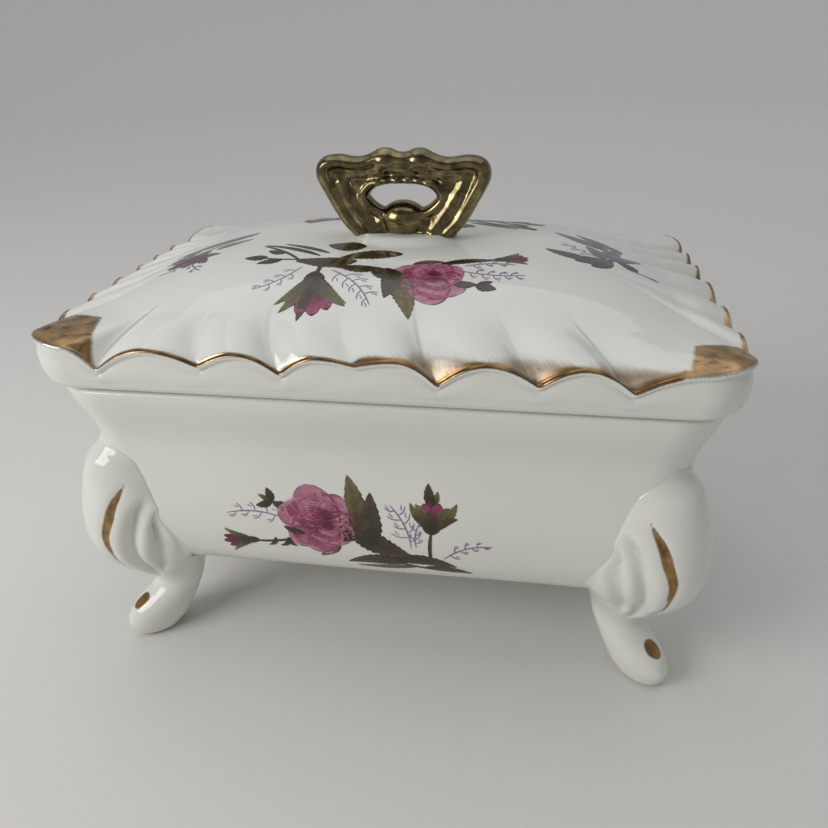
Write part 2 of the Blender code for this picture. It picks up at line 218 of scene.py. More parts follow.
def glaze_nodes(tree):
    """Body colour, roughness and surface of clear-glazed porcelain, as three outputs.

    The glaze pools into faint cool clouds about 30 mm wide, holds a few burnt-iron specks a
    fifth of a millimetre wide, and its skin ripples a little every few millimetres.
    """
    place = add_node(tree, "TexCoord").outputs["Object"]
    clouds = add_node(tree, "TexNoise", {"Vector": place, "Scale": 32.0, "Detail": 3.0})
    body = add_node(tree, "Mix", {0: clouds, 6: linear("#E3E5E0"), 7: linear("#EDEDE7")}, data_type="RGBA")
    cells = add_node(tree, "TexVoronoi", {"Vector": place, "Scale": 95.0})
    dot = add_node(tree, "Math", (cells, 0.028), operation="LESS_THAN")
    pick = add_node(tree, "SeparateColor", (cells.outputs["Color"],))
    rare = add_node(tree, "Math", (pick, 0.93), operation="GREATER_THAN")
    speck = add_node(tree, "Math", (dot, rare), operation="MULTIPLY")
    colour = add_node(tree, "Mix", {0: speck, 6: body.outputs[2], 7: linear("#4A4038")}, data_type="RGBA")
    sheen = add_node(tree, "TexNoise", {"Vector": place, "Scale": 70.0, "Detail": 4.0})
    rough = add_node(tree, "MapRange", (sheen, 0.3, 0.7, 0.035, 0.08))
    slow = add_node(tree, "TexNoise", {"Vector": place, "Scale": 60.0, "Detail": 1.0})
    swell = add_node(tree, "Bump", {"Height": slow, "Strength": 0.5, "Distance": 0.0002})
    fine = add_node(tree, "TexNoise", {"Vector": place, "Scale": 420.0, "Detail": 2.0})
    skin_ripple = {"Height": fine, "Normal": swell, "Strength": 0.25, "Distance": 0.00003}
    return colour.outputs[2], rough, add_node(tree, "Bump", skin_ripple)


def glazed_porcelain():
    """Hard-paste porcelain under clear glaze: cool white, wet-looking, with soft broad highlights."""
    material, tree, shader = new_material("glazed_porcelain")
    colour, rough, surface = glaze_nodes(tree)
    looks = {"Base Color": colour, "Roughness": rough, "Normal": surface, "IOR": GLAZE_IOR}
    set_inputs(tree, shader, looks)
    return material


def wall_draw(height):
    """How far the outer wall has drawn in at a height.

    Cosine easings run from the rim to the waist and on to the belly; under the belly a quarter
    ellipse turns the wall in to the base.
    """
    down = np.clip((RIM - height) / (RIM - WAIST[1]), 0, 1)
    upper = WAIST[0] * (1 - np.cos(np.pi * down)) / 2
    down = np.clip((WAIST[1] - height) / (WAIST[1] - BELLY[1]), 0, 1)
    middle = (BELLY[0] - WAIST[0]) * (1 - np.cos(np.pi * down)) / 2
    sine = np.clip((height - STAND) / (BELLY[1] - STAND), 0, 1)
    return upper + middle + TUCK * (1 - np.sqrt(1 - (1 - sine) ** 2))


def hand_wave(x, height):
    """Slow swell of the wall: a cosine along the length times a sine up the height."""
    return HAND_WAVE * np.cos(x / 11) * np.sin(height / 9 + 1)


def angles(steps, start=0, end=90):
    """Evenly spaced angles, given in degrees and returned in radians: a quarter turn if not said."""
    return np.radians(np.linspace(start, end, steps))


def dish_grid():
    """Rings from the middle of the base out, up the wall, over the rim, down inside to the floor."""
    even = np.linspace(-1, 1, 45)
    places = outline_places((even, even[::2], even, even[::2]), 14)
    turn, rim_turn, bowl_turn = angles(30), angles(9, 15, 165), angles(20)[1:]
    base, floor, bowl_reach = BELLY[0] + TUCK, STAND + FLOOR, TUCK - BOWL_EASE
    rise = np.linspace(BELLY[1], RIM - RIM_ROUND, 60)[1:]
    drop = np.linspace(RIM - RIM_ROUND, BELLY[1], 50)
    profile = np.concatenate([
        stack(np.linspace(MIDDLE, base, 6)[:-1], STAND),
        stack(BELLY[0] + TUCK * (1 - np.sin(turn)), STAND + (BELLY[1] - STAND) * (1 - np.cos(turn))),
        stack(wall_draw(rise), rise),
        stack(WALL / 2 * (1 - np.cos(rim_turn)), RIM - RIM_ROUND * (1 - np.sin(rim_turn))),
        stack(wall_draw(drop) + WALL, drop),
        stack(BELLY[0] + WALL + bowl_reach * (1 - np.cos(bowl_turn)),
              floor + (BELLY[1] - STAND - FLOOR) * (1 - np.sin(bowl_turn))),
        stack(np.linspace(BELLY[0] + WALL + TUCK - BOWL_EASE, MIDDLE, 6)[1:], floor),
    ])
    radius = np.maximum(DISH_CORNER - CORNER_TIGHTENING * profile[:, 0], 0.8)
    grid = ring_grid(places, DISH_HALF, profile[:, 0], radius, profile[:, 1:])
    wave = hand_wave(grid[..., 0], grid[..., 2]) * (grid[..., 2] > STAND + 1)
    grid[..., :2] -= np.sign(grid[..., :2]) * wave[..., None] * (np.abs(places[:, 2:]) > 0.5)
    return grid


porcelain = glazed_porcelain()
dish = make_piece("dish_body", [skin(dish_grid())], porcelain, "base")
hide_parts("dish")


# ---- The four scroll feet ----
# Each is a moulded scroll of the same porcelain, luted to a corner with slip before glazing. A
# broad lobe and three narrower ones gather at the ankle; the first crease and the toe are gilded.

# Height, then how far the front and the back reach out from the corner's centre, then half width
FOOT_SECTIONS = np.array((
    (0, 9.8, 1.8, 2.6), (0.6, 11.6, 0.0, 3.9), (2.6, 13.3, -3.2, 5.2), (6.4, 13.6, -6.0, 6.2),
    (9.4, 11.6, -7.8, 6.5), (12.4, 7.2, -9.2, 6.5), (15.4, 3.4, -10.4, 6.6), (18.6, 3.6, -11.4, 7.0),
    (22.5, 7.6, -12.2, 8.6), (26.3, 12.0, -13.0, 10.8), (31.4, 16.0, -14.2, 13.9), (38.1, 18.4, -14.6, 15.9),
    (45.7, 18.4, -13.6, 15.4), (53.2, 17.0, -12.2, 13.3), (59.5, 15.0, -10.2, 10.9), (63.4, 12.9, -8.2, 8.8),
    (65.6, 9.8, -6.2, 6.4), (67.0, 7.2, -5.0, 5.0), (68.8, 3.4, -4.0, 3.4),
))
WIDEST_SHARE = 0.42  # where a section is widest, from its back to its front
# The creases between lobes: heights, angle from the front at each, depth and half width in degrees
CREASES = (
    ((22, 36, 43, 47, 52, 57), (24, 27, 30, 36, 44, 58), 0.9, 5.0),
    ((20, 30, 35, 41, 47, 52), (40, 47, 48, 53, 62, 74), 3.3, 6.0),
    ((23, 32, 38, 43, 48), (60, 71, 76, 80, 86), 3.4, 5.5),
)
CORNER_CENTRE = DISH_HALF - DISH_CORNER
SLIP_BLEND = 2.6  # reach of the slip smoothed between foot and wall
SLIP_FILLET = 2.8  # greatest width of the fillet wiped along the foot's sides
SUNK = 0.35  # how far the foot's hidden side lies inside the wall
GILT_CREASE = (22.5, 58.0, 2.3)  # lowest and highest end of the gilt stripe, and its half width
TOE_GILT = (9.4, 11.8, 3.2)  # reach, height and size of the gilded patch on the toe


def smooth_through(at, knots, values):
    """A cubic between each two knots, whose slope at a knot is taken from its two neighbours."""
    slopes = np.gradient(values, knots, axis=0)
    low = np.clip(np.searchsorted(knots, at) - 1, 0, len(knots) - 2)
    span = (knots[low + 1] - knots[low])[:, None]
    t = (at - knots[low])[:, None] / span
    start = (1 + 2 * t) * (1 - t) ** 2 * values[low] + t * (1 - t) ** 2 * span * slopes[low]
    return start + t**2 * (3 - 2 * t) * values[low + 1] - t**2 * (1 - t) * span * slopes[low + 1]


def window(value, low, high, soft):
    """One between low and high, easing to nothing over the soft width outside each."""
    rise = np.clip((value - low) / soft + 1, 0, 1)
    fall = np.clip((high - value) / soft + 1, 0, 1)
    rise, fall = (edge**2 * (3 - 2 * edge) for edge in (rise, fall))
    return rise * fall


def corner_wall(across, height):
    """Reach of the dish's corner at a place across: an arc that runs on into straight sides."""
    draw = wall_draw(height)
    radius = DISH_CORNER - CORNER_TIGHTENING * draw
    side = np.abs(across)
    arc = np.sqrt(np.maximum(radius**2 - side**2, 0))
    straight = radius * math.sqrt(2) - side
    reach = np.where(side < radius / math.sqrt(2), arc, straight)
    return reach - (1 - CORNER_TIGHTENING) * math.sqrt(2) * draw


def against_wall(along, across, height, degrees):
    """Moves a foot's places on to the dish's corner, with slip wiped into the angle.

    In front, the distance out of the wall goes through a smooth maximum with nothing. From the
    widest place on, a quarter ellipse flares out to meet the wall, and the hidden side follows
    the wall a little inside. Near the base the leg keeps its own back, and so it does below it.
    """
    out = along - corner_wall(across, height)
    eased = (out + np.sqrt(out**2 + SLIP_BLEND**2)) / 2 - SUNK
    upright = corner_wall(across, height) + eased
    widest = np.abs(degrees - 90).argmin()
    proud, half = eased[:, widest, None], np.abs(across[:, widest, None])
    flare = np.clip((degrees - 90) / 40, 0, 1) * np.pi / 2
    wide = np.minimum(1.6 * np.maximum(proud, 0), SLIP_FILLET)
    closing = np.clip((180 - degrees) / 50, 0, 1)
    spread = (half + wide * (1 - np.cos(flare))) * closing * np.sign(across)
    gap = proud * (1 - np.sin(flare)) - SUNK * np.sin(flare)
    luted = corner_wall(spread, height) + gap
    share = np.clip((height - STAND - 2.0) / 6.0, 0, 1) * (degrees > 90)
    share = share**2 * (3 - 2 * share)
    along = np.where(height > STAND + 0.5, upright + (luted - upright) * share, along)
    return along, across + (spread - across) * share


def crease_angle(heights, levels, angles):
    """The angle at which a crease runs at each height: a smooth curve through its knots."""
    levels, angles = np.array(levels, float), np.array(angles, float)[:, None]
    return smooth_through(np.clip(heights, levels[0], levels[-1]), levels, angles)


def foot_grid():
    """Level sections of half an ellipse to the front and half to the back, cut by the creases.

    Returns points as (outwards, across, up) and the gilding at each: how far inside the gilt
    edge it lies, how ragged that edge is, and how thick the gold.
    """
    top = FOOT_SECTIONS[-1, 0]
    steps = ((0, 4, 14), (4, 60, 112), (60, top, 26))
    heights = np.concatenate([np.linspace(*step)[min(i, 1):] for i, step in enumerate(steps)])
    levels, reaches = FOOT_SECTIONS[:, 0], FOOT_SECTIONS[:, 1:]
    front, back, half_width = smooth_through(heights, levels, reaches).T[..., None]
    turn = np.linspace(0, 2 * np.pi, 112, endpoint=False)
    widest = back + WIDEST_SHARE * (front - back)
    degrees = np.degrees(np.minimum(turn, 2 * np.pi - turn))
    height = heights[:, None]
    relief = np.zeros((len(heights), len(turn)))
    for levels, angles, depth, spread in CREASES:
        middle = crease_angle(heights, levels, angles)
        live = window(height, levels[0] + 6, levels[-1] - 4, 6.0)
        relief -= depth * live / (1 + ((degrees - middle) / spread) ** 2)
    across_share = np.sin(turn)
    along = widest + np.where(np.cos(turn) > 0, front - widest, widest - back) * np.cos(turn)
    size = np.hypot(half_width, front - widest)
    along = along + relief * np.cos(turn)
    across = half_width * across_share + relief * across_share
    levels, angles = CREASES[0][:2]
    middle = crease_angle(heights, levels, angles)
    low, high, half_stripe = GILT_CREASE
    share = np.clip((height - low) / (high - low), 0, 1)
    taper = np.sin(np.pi * share**1.6) ** 0.7 * (0.5 + 0.5 * share)
    off_crease = np.radians(degrees - middle) * size * 0.72
    gilt = half_stripe * taper - 0.15 - np.abs(off_crease)
    toe_off = np.hypot(np.hypot(along - TOE_GILT[0], height - TOE_GILT[1]), across * 1.25)
    gilt = np.maximum(gilt, TOE_GILT[2] - toe_off)
    along, across = against_wall(along, across, height, degrees)
    return stack(along, across, height), stack(gilt, 0.15, 0.55)


def porcelain_with_gilding(name):
    """The glazed porcelain with liquid bright gold brushed on: warm, mirror-like, streaked.

    The attribute gilding holds millimetres inside the gilt edge, its raggedness and the gold's
    thickness, with painted shade added on the lid in rib hollows, at notches and on the bead's outer
    face; edge_place holds millimetres along and in from a brushed edge, so that the brush's
    hairs, about 0.35 mm apart, run inwards.
    """
    material, tree, shader = new_material(name)
    colour, rough, surface = glaze_nodes(tree)
    gilding = add_node(tree, "Attribute", attribute_name="gilding").outputs["Vector"]
    within, raggedness, thickness_and_shade = add_node(tree, "SeparateXYZ", (gilding,)).outputs
    edge_place = add_node(tree, "Attribute", attribute_name="edge_place").outputs["Vector"]
    hairs_place = add_node(tree, "VectorMath", (edge_place, (2.6, 0.28, 1.0)), operation="MULTIPLY")
    hairs = add_node(tree, "TexNoise", {"Vector": hairs_place, "Scale": 1.0, "Detail": 2.0})
    ragged = add_node(tree, "Math", (hairs, 0.5), operation="SUBTRACT")
    reach = add_node(tree, "Math", (ragged, 3.4), operation="MULTIPLY")
    shift = add_node(tree, "Math", (reach, raggedness), operation="MULTIPLY")
    inside = add_node(tree, "Math", (within, shift), operation="ADD")
    # Away from the bead the brush runs dry, so there the gold thins out over a wider band
    feather = add_node(tree, "Math", (raggedness, 3.2, 0.10), operation="MULTIPLY_ADD")
    cover = add_node(tree, "MapRange", (inside, -0.10, feather), interpolation_type="SMOOTHSTEP")
    dry = add_node(tree, "MapRange", (hairs, 0.40, 0.62, 1.0, 0.62))
    dry_share = add_node(tree, "Math", (raggedness, 1.1), operation="MULTIPLY", use_clamp=True)
    streaked = add_node(tree, "Mix", {0: dry_share, 2: 1.0, 3: dry})
    cover = add_node(tree, "Math", (cover, streaked), operation="MULTIPLY")
    place = add_node(tree, "TexCoord").outputs["Object"]
    pools = add_node(tree, "TexNoise", {"Vector": place, "Scale": 260.0, "Detail": 3.0})
    pooled = add_node(tree, "Math", (pools, 0.5), operation="SUBTRACT")
    # Painted shade: the gilding's third value, besides the gold's thickness, darkens the lid's gold in rib
    # hollows, at notches and on the bead's outer face.
    depth = add_node(tree, "Math", (pooled, 1.6, thickness_and_shade), operation="MULTIPLY_ADD", use_clamp=True)
    gold = add_node(tree, "Mix", {0: depth, 6: linear("#C49A60"), 7: linear("#543C20")}, data_type="RGBA")
    base = add_node(tree, "Mix", {0: cover, 6: colour, 7: gold.outputs[2]}, data_type="RGBA")
    # The dry brush leaves a broken film, so it shines less than the loaded one
    shine = add_node(tree, "Math", (raggedness, -0.75, 0.95), operation="MULTIPLY_ADD")
    metal = add_node(tree, "Math", (cover, shine), operation="MULTIPLY")
    gold_rough = add_node(tree, "MapRange", (pools, 0.3, 0.7, 0.14, 0.26))
    gold_rough = add_node(tree, "Math", (raggedness, 0.22, gold_rough), operation="MULTIPLY_ADD")
    roughness = add_node(tree, "Mix", {0: cover, 2: rough, 3: gold_rough})
    looks = {"Base Color": base.outputs[2], "Metallic": metal, "Roughness": roughness, "Normal": surface}
    set_inputs(tree, shader, looks)
    return material


foot_points, foot_gilding = foot_grid()
gilded_foot = porcelain_with_gilding("gilded_foot_porcelain")
along, across, up = np.moveaxis(foot_points, -1, 0)
for side_x, side_y, node in (
    (-1, -1, "foot_front_left"), (1, -1, "foot_front_right"),
    (-1, 1, "foot_rear_left"), (1, 1, "foot_rear_right"),
):
    x = side_x * (CORNER_CENTRE[0] + (along + across) / math.sqrt(2))
    y = side_y * (CORNER_CENTRE[1] + (along - across) / math.sqrt(2))
    grid = stack(x, y, up)
    layers = {"gilding": with_ends(foot_gilding), "edge_place": with_ends(grid * 0.3)}
    foot = make_piece(f"scroll_{node}", [skin(grid)], gilded_foot, "base", layers)
    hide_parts(node)


# ---- The lid ----
# A pillow-shaped cover cast in one with its skirt and the locating flange under it. Its edge is
# moulded into scallops whose creases run up over the dome, with a ribbed leaf at each corner; the
# edge is gilded with a fine line on the left and with a loaded brush on the right.

lid_high = np.array(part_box("lid")[1]) / MM
handle_low, handle_high = (np.array(corner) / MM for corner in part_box("handle"))
SEAT_GAP = 0.3
END_BOW = 1.5  # how far the middle of each short side swells past its corners
LID_HALF = np.array([lid_high[0] - END_BOW, lid_high[1]])
SEAT = RIM + SEAT_GAP
SPRING = SEAT + 9.2  # the dome springs from here
DOME_TOP = handle_low[2] - SEAT_GAP - 0.5
SQUARENESS = (3.6, 3.0)  # along and across; higher is flatter on top
CREST = 2.8  # scallop crests above the springing
CORNER_TIP = 0.9
LID_CORNER = 11.0
BEAD = 0.75  # radius of the rounded edge
SKIRT_INSET, SKIRT_SWELL, SKIRT_ROUNDING = 0.75, 0.55, 2.8
FLANGE = (8.0, 3.0, 5.0)  # inset from the edge, thickness, depth
CHAMFER = 0.6
SCALLOP_REACH = 19.0  # how far in the crests die away
BAND = 21.0  # width of the close rings that carry the scallops
LOBE_STEPS = 21
CORNER_STEPS = 10
# Notches of the scalloped edge: share of the straight half side, and depth
LONG_NOTCHES = (
    (-0.885, 5.4), (-0.535, 3.2), (-0.27, 4.2), (-0.03, 1.3), (0.222, 5.2), (0.525, 4.2), (0.80, 4.8),
)
RIGHT_NOTCHES = ((-0.92, 3.4), (-0.545, 4.0), (-0.14, 3.8), (0.32, 4.0), (0.60, 3.4), (0.88, 3.2))
LEFT_NOTCHES = (
    (-0.78, 3.8), (-0.50, 4.4), (-0.26, 4.1), (-0.03, 4.6), (0.32, 4.6), (0.58, 4.0), (0.91, 3.6),
)
NOTCHES = tuple(np.array(side) for side in (LONG_NOTCHES, RIGHT_NOTCHES, LONG_NOTCHES, LEFT_NOTCHES))
CREASE_RUN = (19.0, 30.0, 19.0, 30.0)  # how far the creases of each side run in
SWEEP = (7.5, 8)  # how far a long side's creases sweep left, and the inset over which they do
RIB_REACH = 21.0  # how far a corner leaf's ribs reach from the corner
LEAF_SIZES = (19.5, 16.0)  # reach of the gilt leaf at a left and at a right corner
BEHIND = 22.0  # how much less it reaches at the back, where there is none


def dome_height(x, y):
    """A pillow: one minus a power of the place along the length, times the same across it."""
    along = 1 - np.minimum(np.abs(x / LID_HALF[0]), 1) ** SQUARENESS[0]
    across = 1 - np.minimum(np.abs(y / LID_HALF[1]), 1) ** SQUARENESS[1]
    return SPRING + (DOME_TOP - SPRING) * along * across


def slide(side, share, inset):
    """How far a crease has slid along its side at an inset.

    On the long sides all creases sweep left, soon straightening; on the short sides they
    gather to a point like the ribs of a shell. At both ends they follow the corner's diagonal.
    """
    if side % 2 == 0:
        sweep = SWEEP[0] * (1 - share**4) * (1 - np.exp(-inset / SWEEP[1]))
        return -share * np.abs(share) * inset - sweep
    return -inset * (share + 0.3 * (1 - share**2))


def scallops(side, share, inset):
    """Height that one side's scallops add to the dome, and how near each place is to a crease.

    At a notch the edge dips by its full depth and recovers with the square of the way to the
    crest. Inwards a crease fades, softens, and narrows most on its left, where the lobe rolls over.
    """
    stops = np.concatenate([[-1.0], NOTCHES[side][:, 0], [1.0]])
    run = np.clip(1 - inset / CREASE_RUN[side], 0, 1)
    near = np.zeros(np.broadcast(share, inset).shape)
    dip = np.zeros_like(near)
    for i, (place, depth) in enumerate(NOTCHES[side], start=1):
        before = (place - stops[i - 1]) / (1 if i == 1 else 2)
        after = (stops[i + 1] - place) / (1 if i == len(NOTCHES[side]) else 2)
        left = share < place
        soft = 0.008 + 0.07 * (1 - run)
        away = np.hypot(share - place, soft) - 0.7 * soft
        closeness = np.clip(1 - away / np.where(left, before, after), 0, 1)
        near = np.maximum(near, closeness)
        dip = np.maximum(dip, depth * closeness ** (2 + np.where(left, 4.5, 0.6) * (1 - run) ** 0.6))
    fade = np.clip(1 - inset / SCALLOP_REACH, 0, 1) ** 2
    swell = 0.6 * (1 - near**2) * np.sin(np.pi * np.clip(inset / 14.0, 0, 1)) ** 1.3
    return CREST * fade - dip * run**1.5 + swell, near * run


def corner_leaf(in_x, in_y):
    """Ribs fanning from the corner: a cosine of the angle round it that dies away with distance."""
    distance = np.hypot(in_x, in_y)
    angle = np.arctan2(in_y, in_x)
    live = np.clip(1 - distance / RIB_REACH, 0, 1) * np.clip((distance - 1.5) / 5.0, 0, 1)
    wave = np.cos(10 * angle + 0.10 * distance)
    return live * (0.7 * np.abs(wave) + 0.3), live, wave


def handle_mound(x, y):
    """The pad of slip that the handle is luted to: a low oval cushion with a soft edge."""
    reach = np.hypot(x / (handle_high[0] * 0.68), y / (handle_high[1] * 2.3))
    return 1.5 * window(reach, 0.0, 0.66, 0.34)


def lid_top(x, y):
    """Height of the lid's glazed top at any place: dome, scallops, corner leaves, handle's mound.

    The share along a side that a place's crease started from is found by going back along the
    slide, a few times over.
    """
    in_x = np.maximum(LID_HALF[0] - np.abs(x), 0)
    in_y = np.maximum(LID_HALF[1] - np.abs(y), 0)
    height = dome_height(x, y) + corner_leaf(in_x, in_y)[0] + handle_mound(x, y)
    half = LID_HALF - LID_CORNER
    for side, (inset, other, along, facing) in enumerate((
        (in_y, in_x, x, y < 0), (in_x, in_y, y, x > 0), (in_y, in_x, -x, y >= 0), (in_x, in_y, -y, x <= 0),
    )):
        share = np.clip(along / half[side % 2], -1, 1)
        for _ in range(8):
            share = np.clip((along - slide(side, share, inset)) / half[side % 2], -1, 1)
        height = height + np.where(facing & (inset <= other), scallops(side, share, inset)[0], 0)
    return height


def lid_places():
    """Places round the lid, drawn together at each notch.

    Returns them with each one's side, its share along that side, and the sine of its way round a
    corner.
    """
    shares = []
    for notches in NOTCHES:
        stops = np.concatenate([[-1.0], notches[:, 0], [1.0]])
        eased = (1 - np.cos(np.pi * np.arange(LOBE_STEPS) / LOBE_STEPS)) / 2
        eased = (eased + np.arange(LOBE_STEPS) / LOBE_STEPS) / 2
        spread = (stops[:-1, None] + np.diff(stops)[:, None] * eased).ravel()
        shares.append(np.append(spread, 1.0))
    round_corner = np.sin(np.pi * np.arange(1, CORNER_STEPS) / CORNER_STEPS)
    side = np.repeat(np.arange(4), [len(share) + CORNER_STEPS - 1 for share in shares])
    share = np.concatenate([np.append(share, np.ones(CORNER_STEPS - 1)) for share in shares])
    turning = np.concatenate([np.append(np.zeros(len(share)), round_corner) for share in shares])
    return outline_places(shares, CORNER_STEPS), side, share, turning


def column(values):
    """One value for each ring, to go with the places round it."""
    return np.asarray(values, float)[:, None]


def lid_rings(places, inset, height=0.0, radius=LID_CORNER, bow=1.0):
    """Rings of the lid's outline, whose short sides swell by a parabola of the place across."""
    grid = ring_grid(places, LID_HALF, inset, np.full(len(inset), radius), height)
    bulge = END_BOW * bow * (1 - np.minimum(np.abs(grid[..., 1] / LID_HALF[1]), 1) ** 2)
    grid[..., 0] += bulge * grid[..., 0] / LID_HALF[0]
    return grid


def lid_underside(places):
    """The hollow under the dome, then the flange, down its inside and up to the seat on the rim."""
    outer, inner, depth = FLANGE[0], FLANGE[0] + FLANGE[1], SEAT - FLANGE[2]
    inset, height = np.array([
        (inner, SPRING - 2), (inner, depth + CHAMFER), (inner - CHAMFER, depth), (outer + CHAMFER, depth),
        (outer, depth + CHAMFER), (outer, SEAT - 0.3), (outer - 0.3, SEAT),
    ]).T
    corner = DISH_CORNER - CORNER_TIGHTENING * WALL - 1.5
    flange = lid_rings(places, inset, column(height), corner, bow=0.0)
    hollow = flange[0] * (0.04 + 0.96 * np.linspace(0, 1, 12)[:, None, None])
    hollow[..., 2] = np.minimum(dome_height(hollow[..., 0], hollow[..., 1]), DOME_TOP) - WALL
    hollow[-1, :, 2] = np.minimum(hollow[-1, :, 2], SPRING - 1)
    return np.concatenate([hollow, flange])


def lid_side(places, edge, bead_turn):
    """The skirt's rounded foot, the skirt up to its undercut, and the bead of the scalloped edge."""
    turn = angles(9, 90, 0)
    foot_height = column(SEAT + SKIRT_ROUNDING * (1 - np.sin(turn)))
    foot = lid_rings(places, SKIRT_INSET + SKIRT_ROUNDING * (1 - np.cos(turn)), foot_height)
    rise = np.linspace(0, 1, 12)[1:]
    skirt = lid_rings(places, SKIRT_INSET - SKIRT_SWELL * np.sin(np.pi * rise) ** 0.7)
    skirt_top = edge - 2 * BEAD - 0.25
    skirt[..., 2] = SEAT + SKIRT_ROUNDING + (skirt_top - SEAT - SKIRT_ROUNDING) * column(rise)
    bead = lid_rings(places, BEAD * (1 - np.cos(bead_turn)))
    bead[..., 2] = edge - BEAD + BEAD * column(np.sin(bead_turn))
    return foot, skirt, bead


def lid_band(places, side, share, turning, edge, inset):
    """Close rings over the scallops, whose places slide along their side as the creases do."""
    band = lid_rings(places, inset)
    lobes = np.zeros(band.shape[:2])
    for i, way in enumerate(((1, 0), (0, 1), (-1, 0), (0, -1))):
        moved = (slide(i, share, column(inset)) + share * column(inset)) * ((side == i) & (turning == 0))
        band[..., :2] += moved[..., None] * way
        lobes += scallops(i, share, column(inset))[0] * (side == i)
    fade = column(np.clip(1 - inset / SCALLOP_REACH, 0, 1) ** 2)
    ribs = corner_leaf(*(LID_HALF[i] - np.abs(band[..., i]) for i in (0, 1)))[0]
    full = dome_height(band[..., 0], band[..., 1]) + lobes + ribs + CORNER_TIP * turning * fade
    settle = column(np.clip(1 - (inset - BEAD) / 4.0, 0, 1) ** 2)
    band[..., 2] = full + (edge - full[0]) * settle
    return band


def brushed_gilding(grid, side, share, near, over):
    """The gilding at each point: millimetres inside the gilt edge, raggedness, and thickness of gold with
    painted shade added.

    Over is the millimetres in from the bead's top, less than nothing below it. The brush is loaded
    on the right-hand part of the front and, turned about, of the back; the ends and the rest have
    a fine line, and the front corners a gilt leaf.
    """
    to_right = np.where(side % 2 == 0, np.clip((share + 0.02) / 0.12, 0, 1), 0.0)
    wash = to_right * (0.8 + 4.4 * near**1.5)
    ends = np.where(side % 2 == 1, 1.5 * near**2 + 0.25, 0.0)
    line = 0.40 + wash + ends
    on_face = 1.15 + np.where(side == 3, 1.3 * near, 0) - np.where(side == 1, 0.6 * (1 - near), 0)
    in_x, in_y = (LID_HALF[i] - np.abs(grid[..., i]) for i in (0, 1))
    leaf_size = np.where(grid[..., 0] < 0, *LEAF_SIZES) - BEHIND * (grid[..., 1] > 0)
    leaf_edge = leaf_size - np.maximum(in_x + 0.25 * in_y, in_y + 0.35 * in_x)
    gilt = np.maximum(np.minimum(line - over, over + on_face), np.minimum(leaf_edge, over + on_face))
    leaf = window(leaf_edge, 0.0, 40.0, 2.0) * (over > -2)
    live, wave = corner_leaf(in_x, in_y)[1:]
    ragged = 0.10 + to_right * np.clip(over, 0, 1) * (0.55 + 0.35 * near)
    ragged = ragged + 0.25 * np.where(side % 2 == 1, near, 0)
    ragged = np.maximum(ragged * (1 - leaf), 0.30 * leaf)
    # Painted shade: the gold is made darker in the hollows between the leaf's ribs, near the notches, and
    # over the bead's outer face below its top.
    hollows = leaf * np.clip(1 - np.abs(wave) * 3.0, 0, 1) * (live > 0)
    gold_thickness_and_shade = np.where(over < 0, 0.75, 0.50 + 0.2 * near**2 - 0.10 * leaf + 0.6 * hollows)
    return stack(gilt, ragged, np.clip(gold_thickness_and_shade, 0, 1))


def lid_grid():
    """Rings from the flange's middle out and up the skirt, over the bead and in to the dome's middle.

    Returns the points, and at each one its gilding and its place along and in from the edge.
    """
    places, side, share, turning = lid_places()
    dip, near = np.array([scallops(i, share, np.zeros(1)) for i in range(4)]).swapaxes(0, 1)
    here = (side, np.arange(len(places)))
    edge, near = SPRING + dip[here] + CORNER_TIP * turning, near[here]
    bead_turn = angles(15, -78, 90)
    inset = BEAD + BAND * np.linspace(0, 1, 52)[1:] ** 1.35
    underside = lid_underside(places)
    foot, skirt, bead = lid_side(places, edge, bead_turn)
    band = lid_band(places, side, share, turning, edge, inset)
    middle = band[-1] * np.linspace(1, 0.015, 36)[1:, None, None]
    middle[..., 2] = lid_top(middle[..., 0], middle[..., 1])
    grid = np.concatenate([underside, foot, skirt, bead, band, middle])

    drop = (edge - BEAD - skirt[..., 2]) + BEAD * np.pi / 2
    over = np.concatenate([
        np.full((len(underside) + len(foot), len(places)), -20.0), -drop,
        np.broadcast_to(column(BEAD * bead_turn - BEAD * np.radians(90)), bead.shape[:2]),
        np.broadcast_to(column(inset - BEAD), band.shape[:2]), np.full(middle.shape[:2], 30.0),
    ])
    step = np.hypot(*np.diff(np.vstack([band[0], band[0, :1]])[:, :2], axis=0).T)
    along = np.concatenate([[0], np.cumsum(step)[:-1]])
    return grid, brushed_gilding(grid, side, share, near, over), stack(along, over, 0)


lid_points, lid_gilding, lid_edge = lid_grid()
gilded_lid = porcelain_with_gilding("gilded_lid_porcelain")
layers = {"gilding": with_ends(lid_gilding), "edge_place": with_ends(lid_edge)}
lid = make_piece("lid_cover", [skin(lid_points)], gilded_lid, "cover", layers)
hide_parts("lid")


# ---- The handle ----
# A pierced loop press-moulded in the same porcelain: rolled rim, rolled lip round the hole, dished
# ears, two knuckles on top and a ball in the throat. It is luted to the mound on the lid and
# covered all over in liquid bright gold, which fires to a dark, brownish mirror.

HANDLE_FOOT = handle_low[2]
VOXEL = 0.36
# Right halves of the rolls' centre lines, bottom to top: x, height, roll radius, half thickness
RIM_ROLL = np.array((
    (11.6, 0.3, 2.2, 4.3), (15.4, 4.4, 2.3, 4.0), (19.0, 10.6, 2.3, 3.9), (21.5, 15.6, 2.3, 3.9),
    (20.9, 18.3, 2.1, 3.9), (17.6, 19.2, 1.9, 3.8), (13.0, 18.6, 1.9, 3.7), (9.6, 18.9, 2.0, 3.6),
    (5.2, 20.2, 2.2, 3.5), (0.0, 19.6, 2.1, 3.4),
))
HOLE_ROLL = np.array((
    (0.0, 4.2, 1.5, 3.4), (4.2, 5.2, 1.5, 3.4), (8.4, 7.0, 1.7, 3.5), (11.0, 10.3, 1.7, 3.5),
    (8.8, 13.4, 1.6, 3.4), (5.0, 14.7, 1.5, 3.3), (0.0, 15.0, 1.5, 3.3),
))
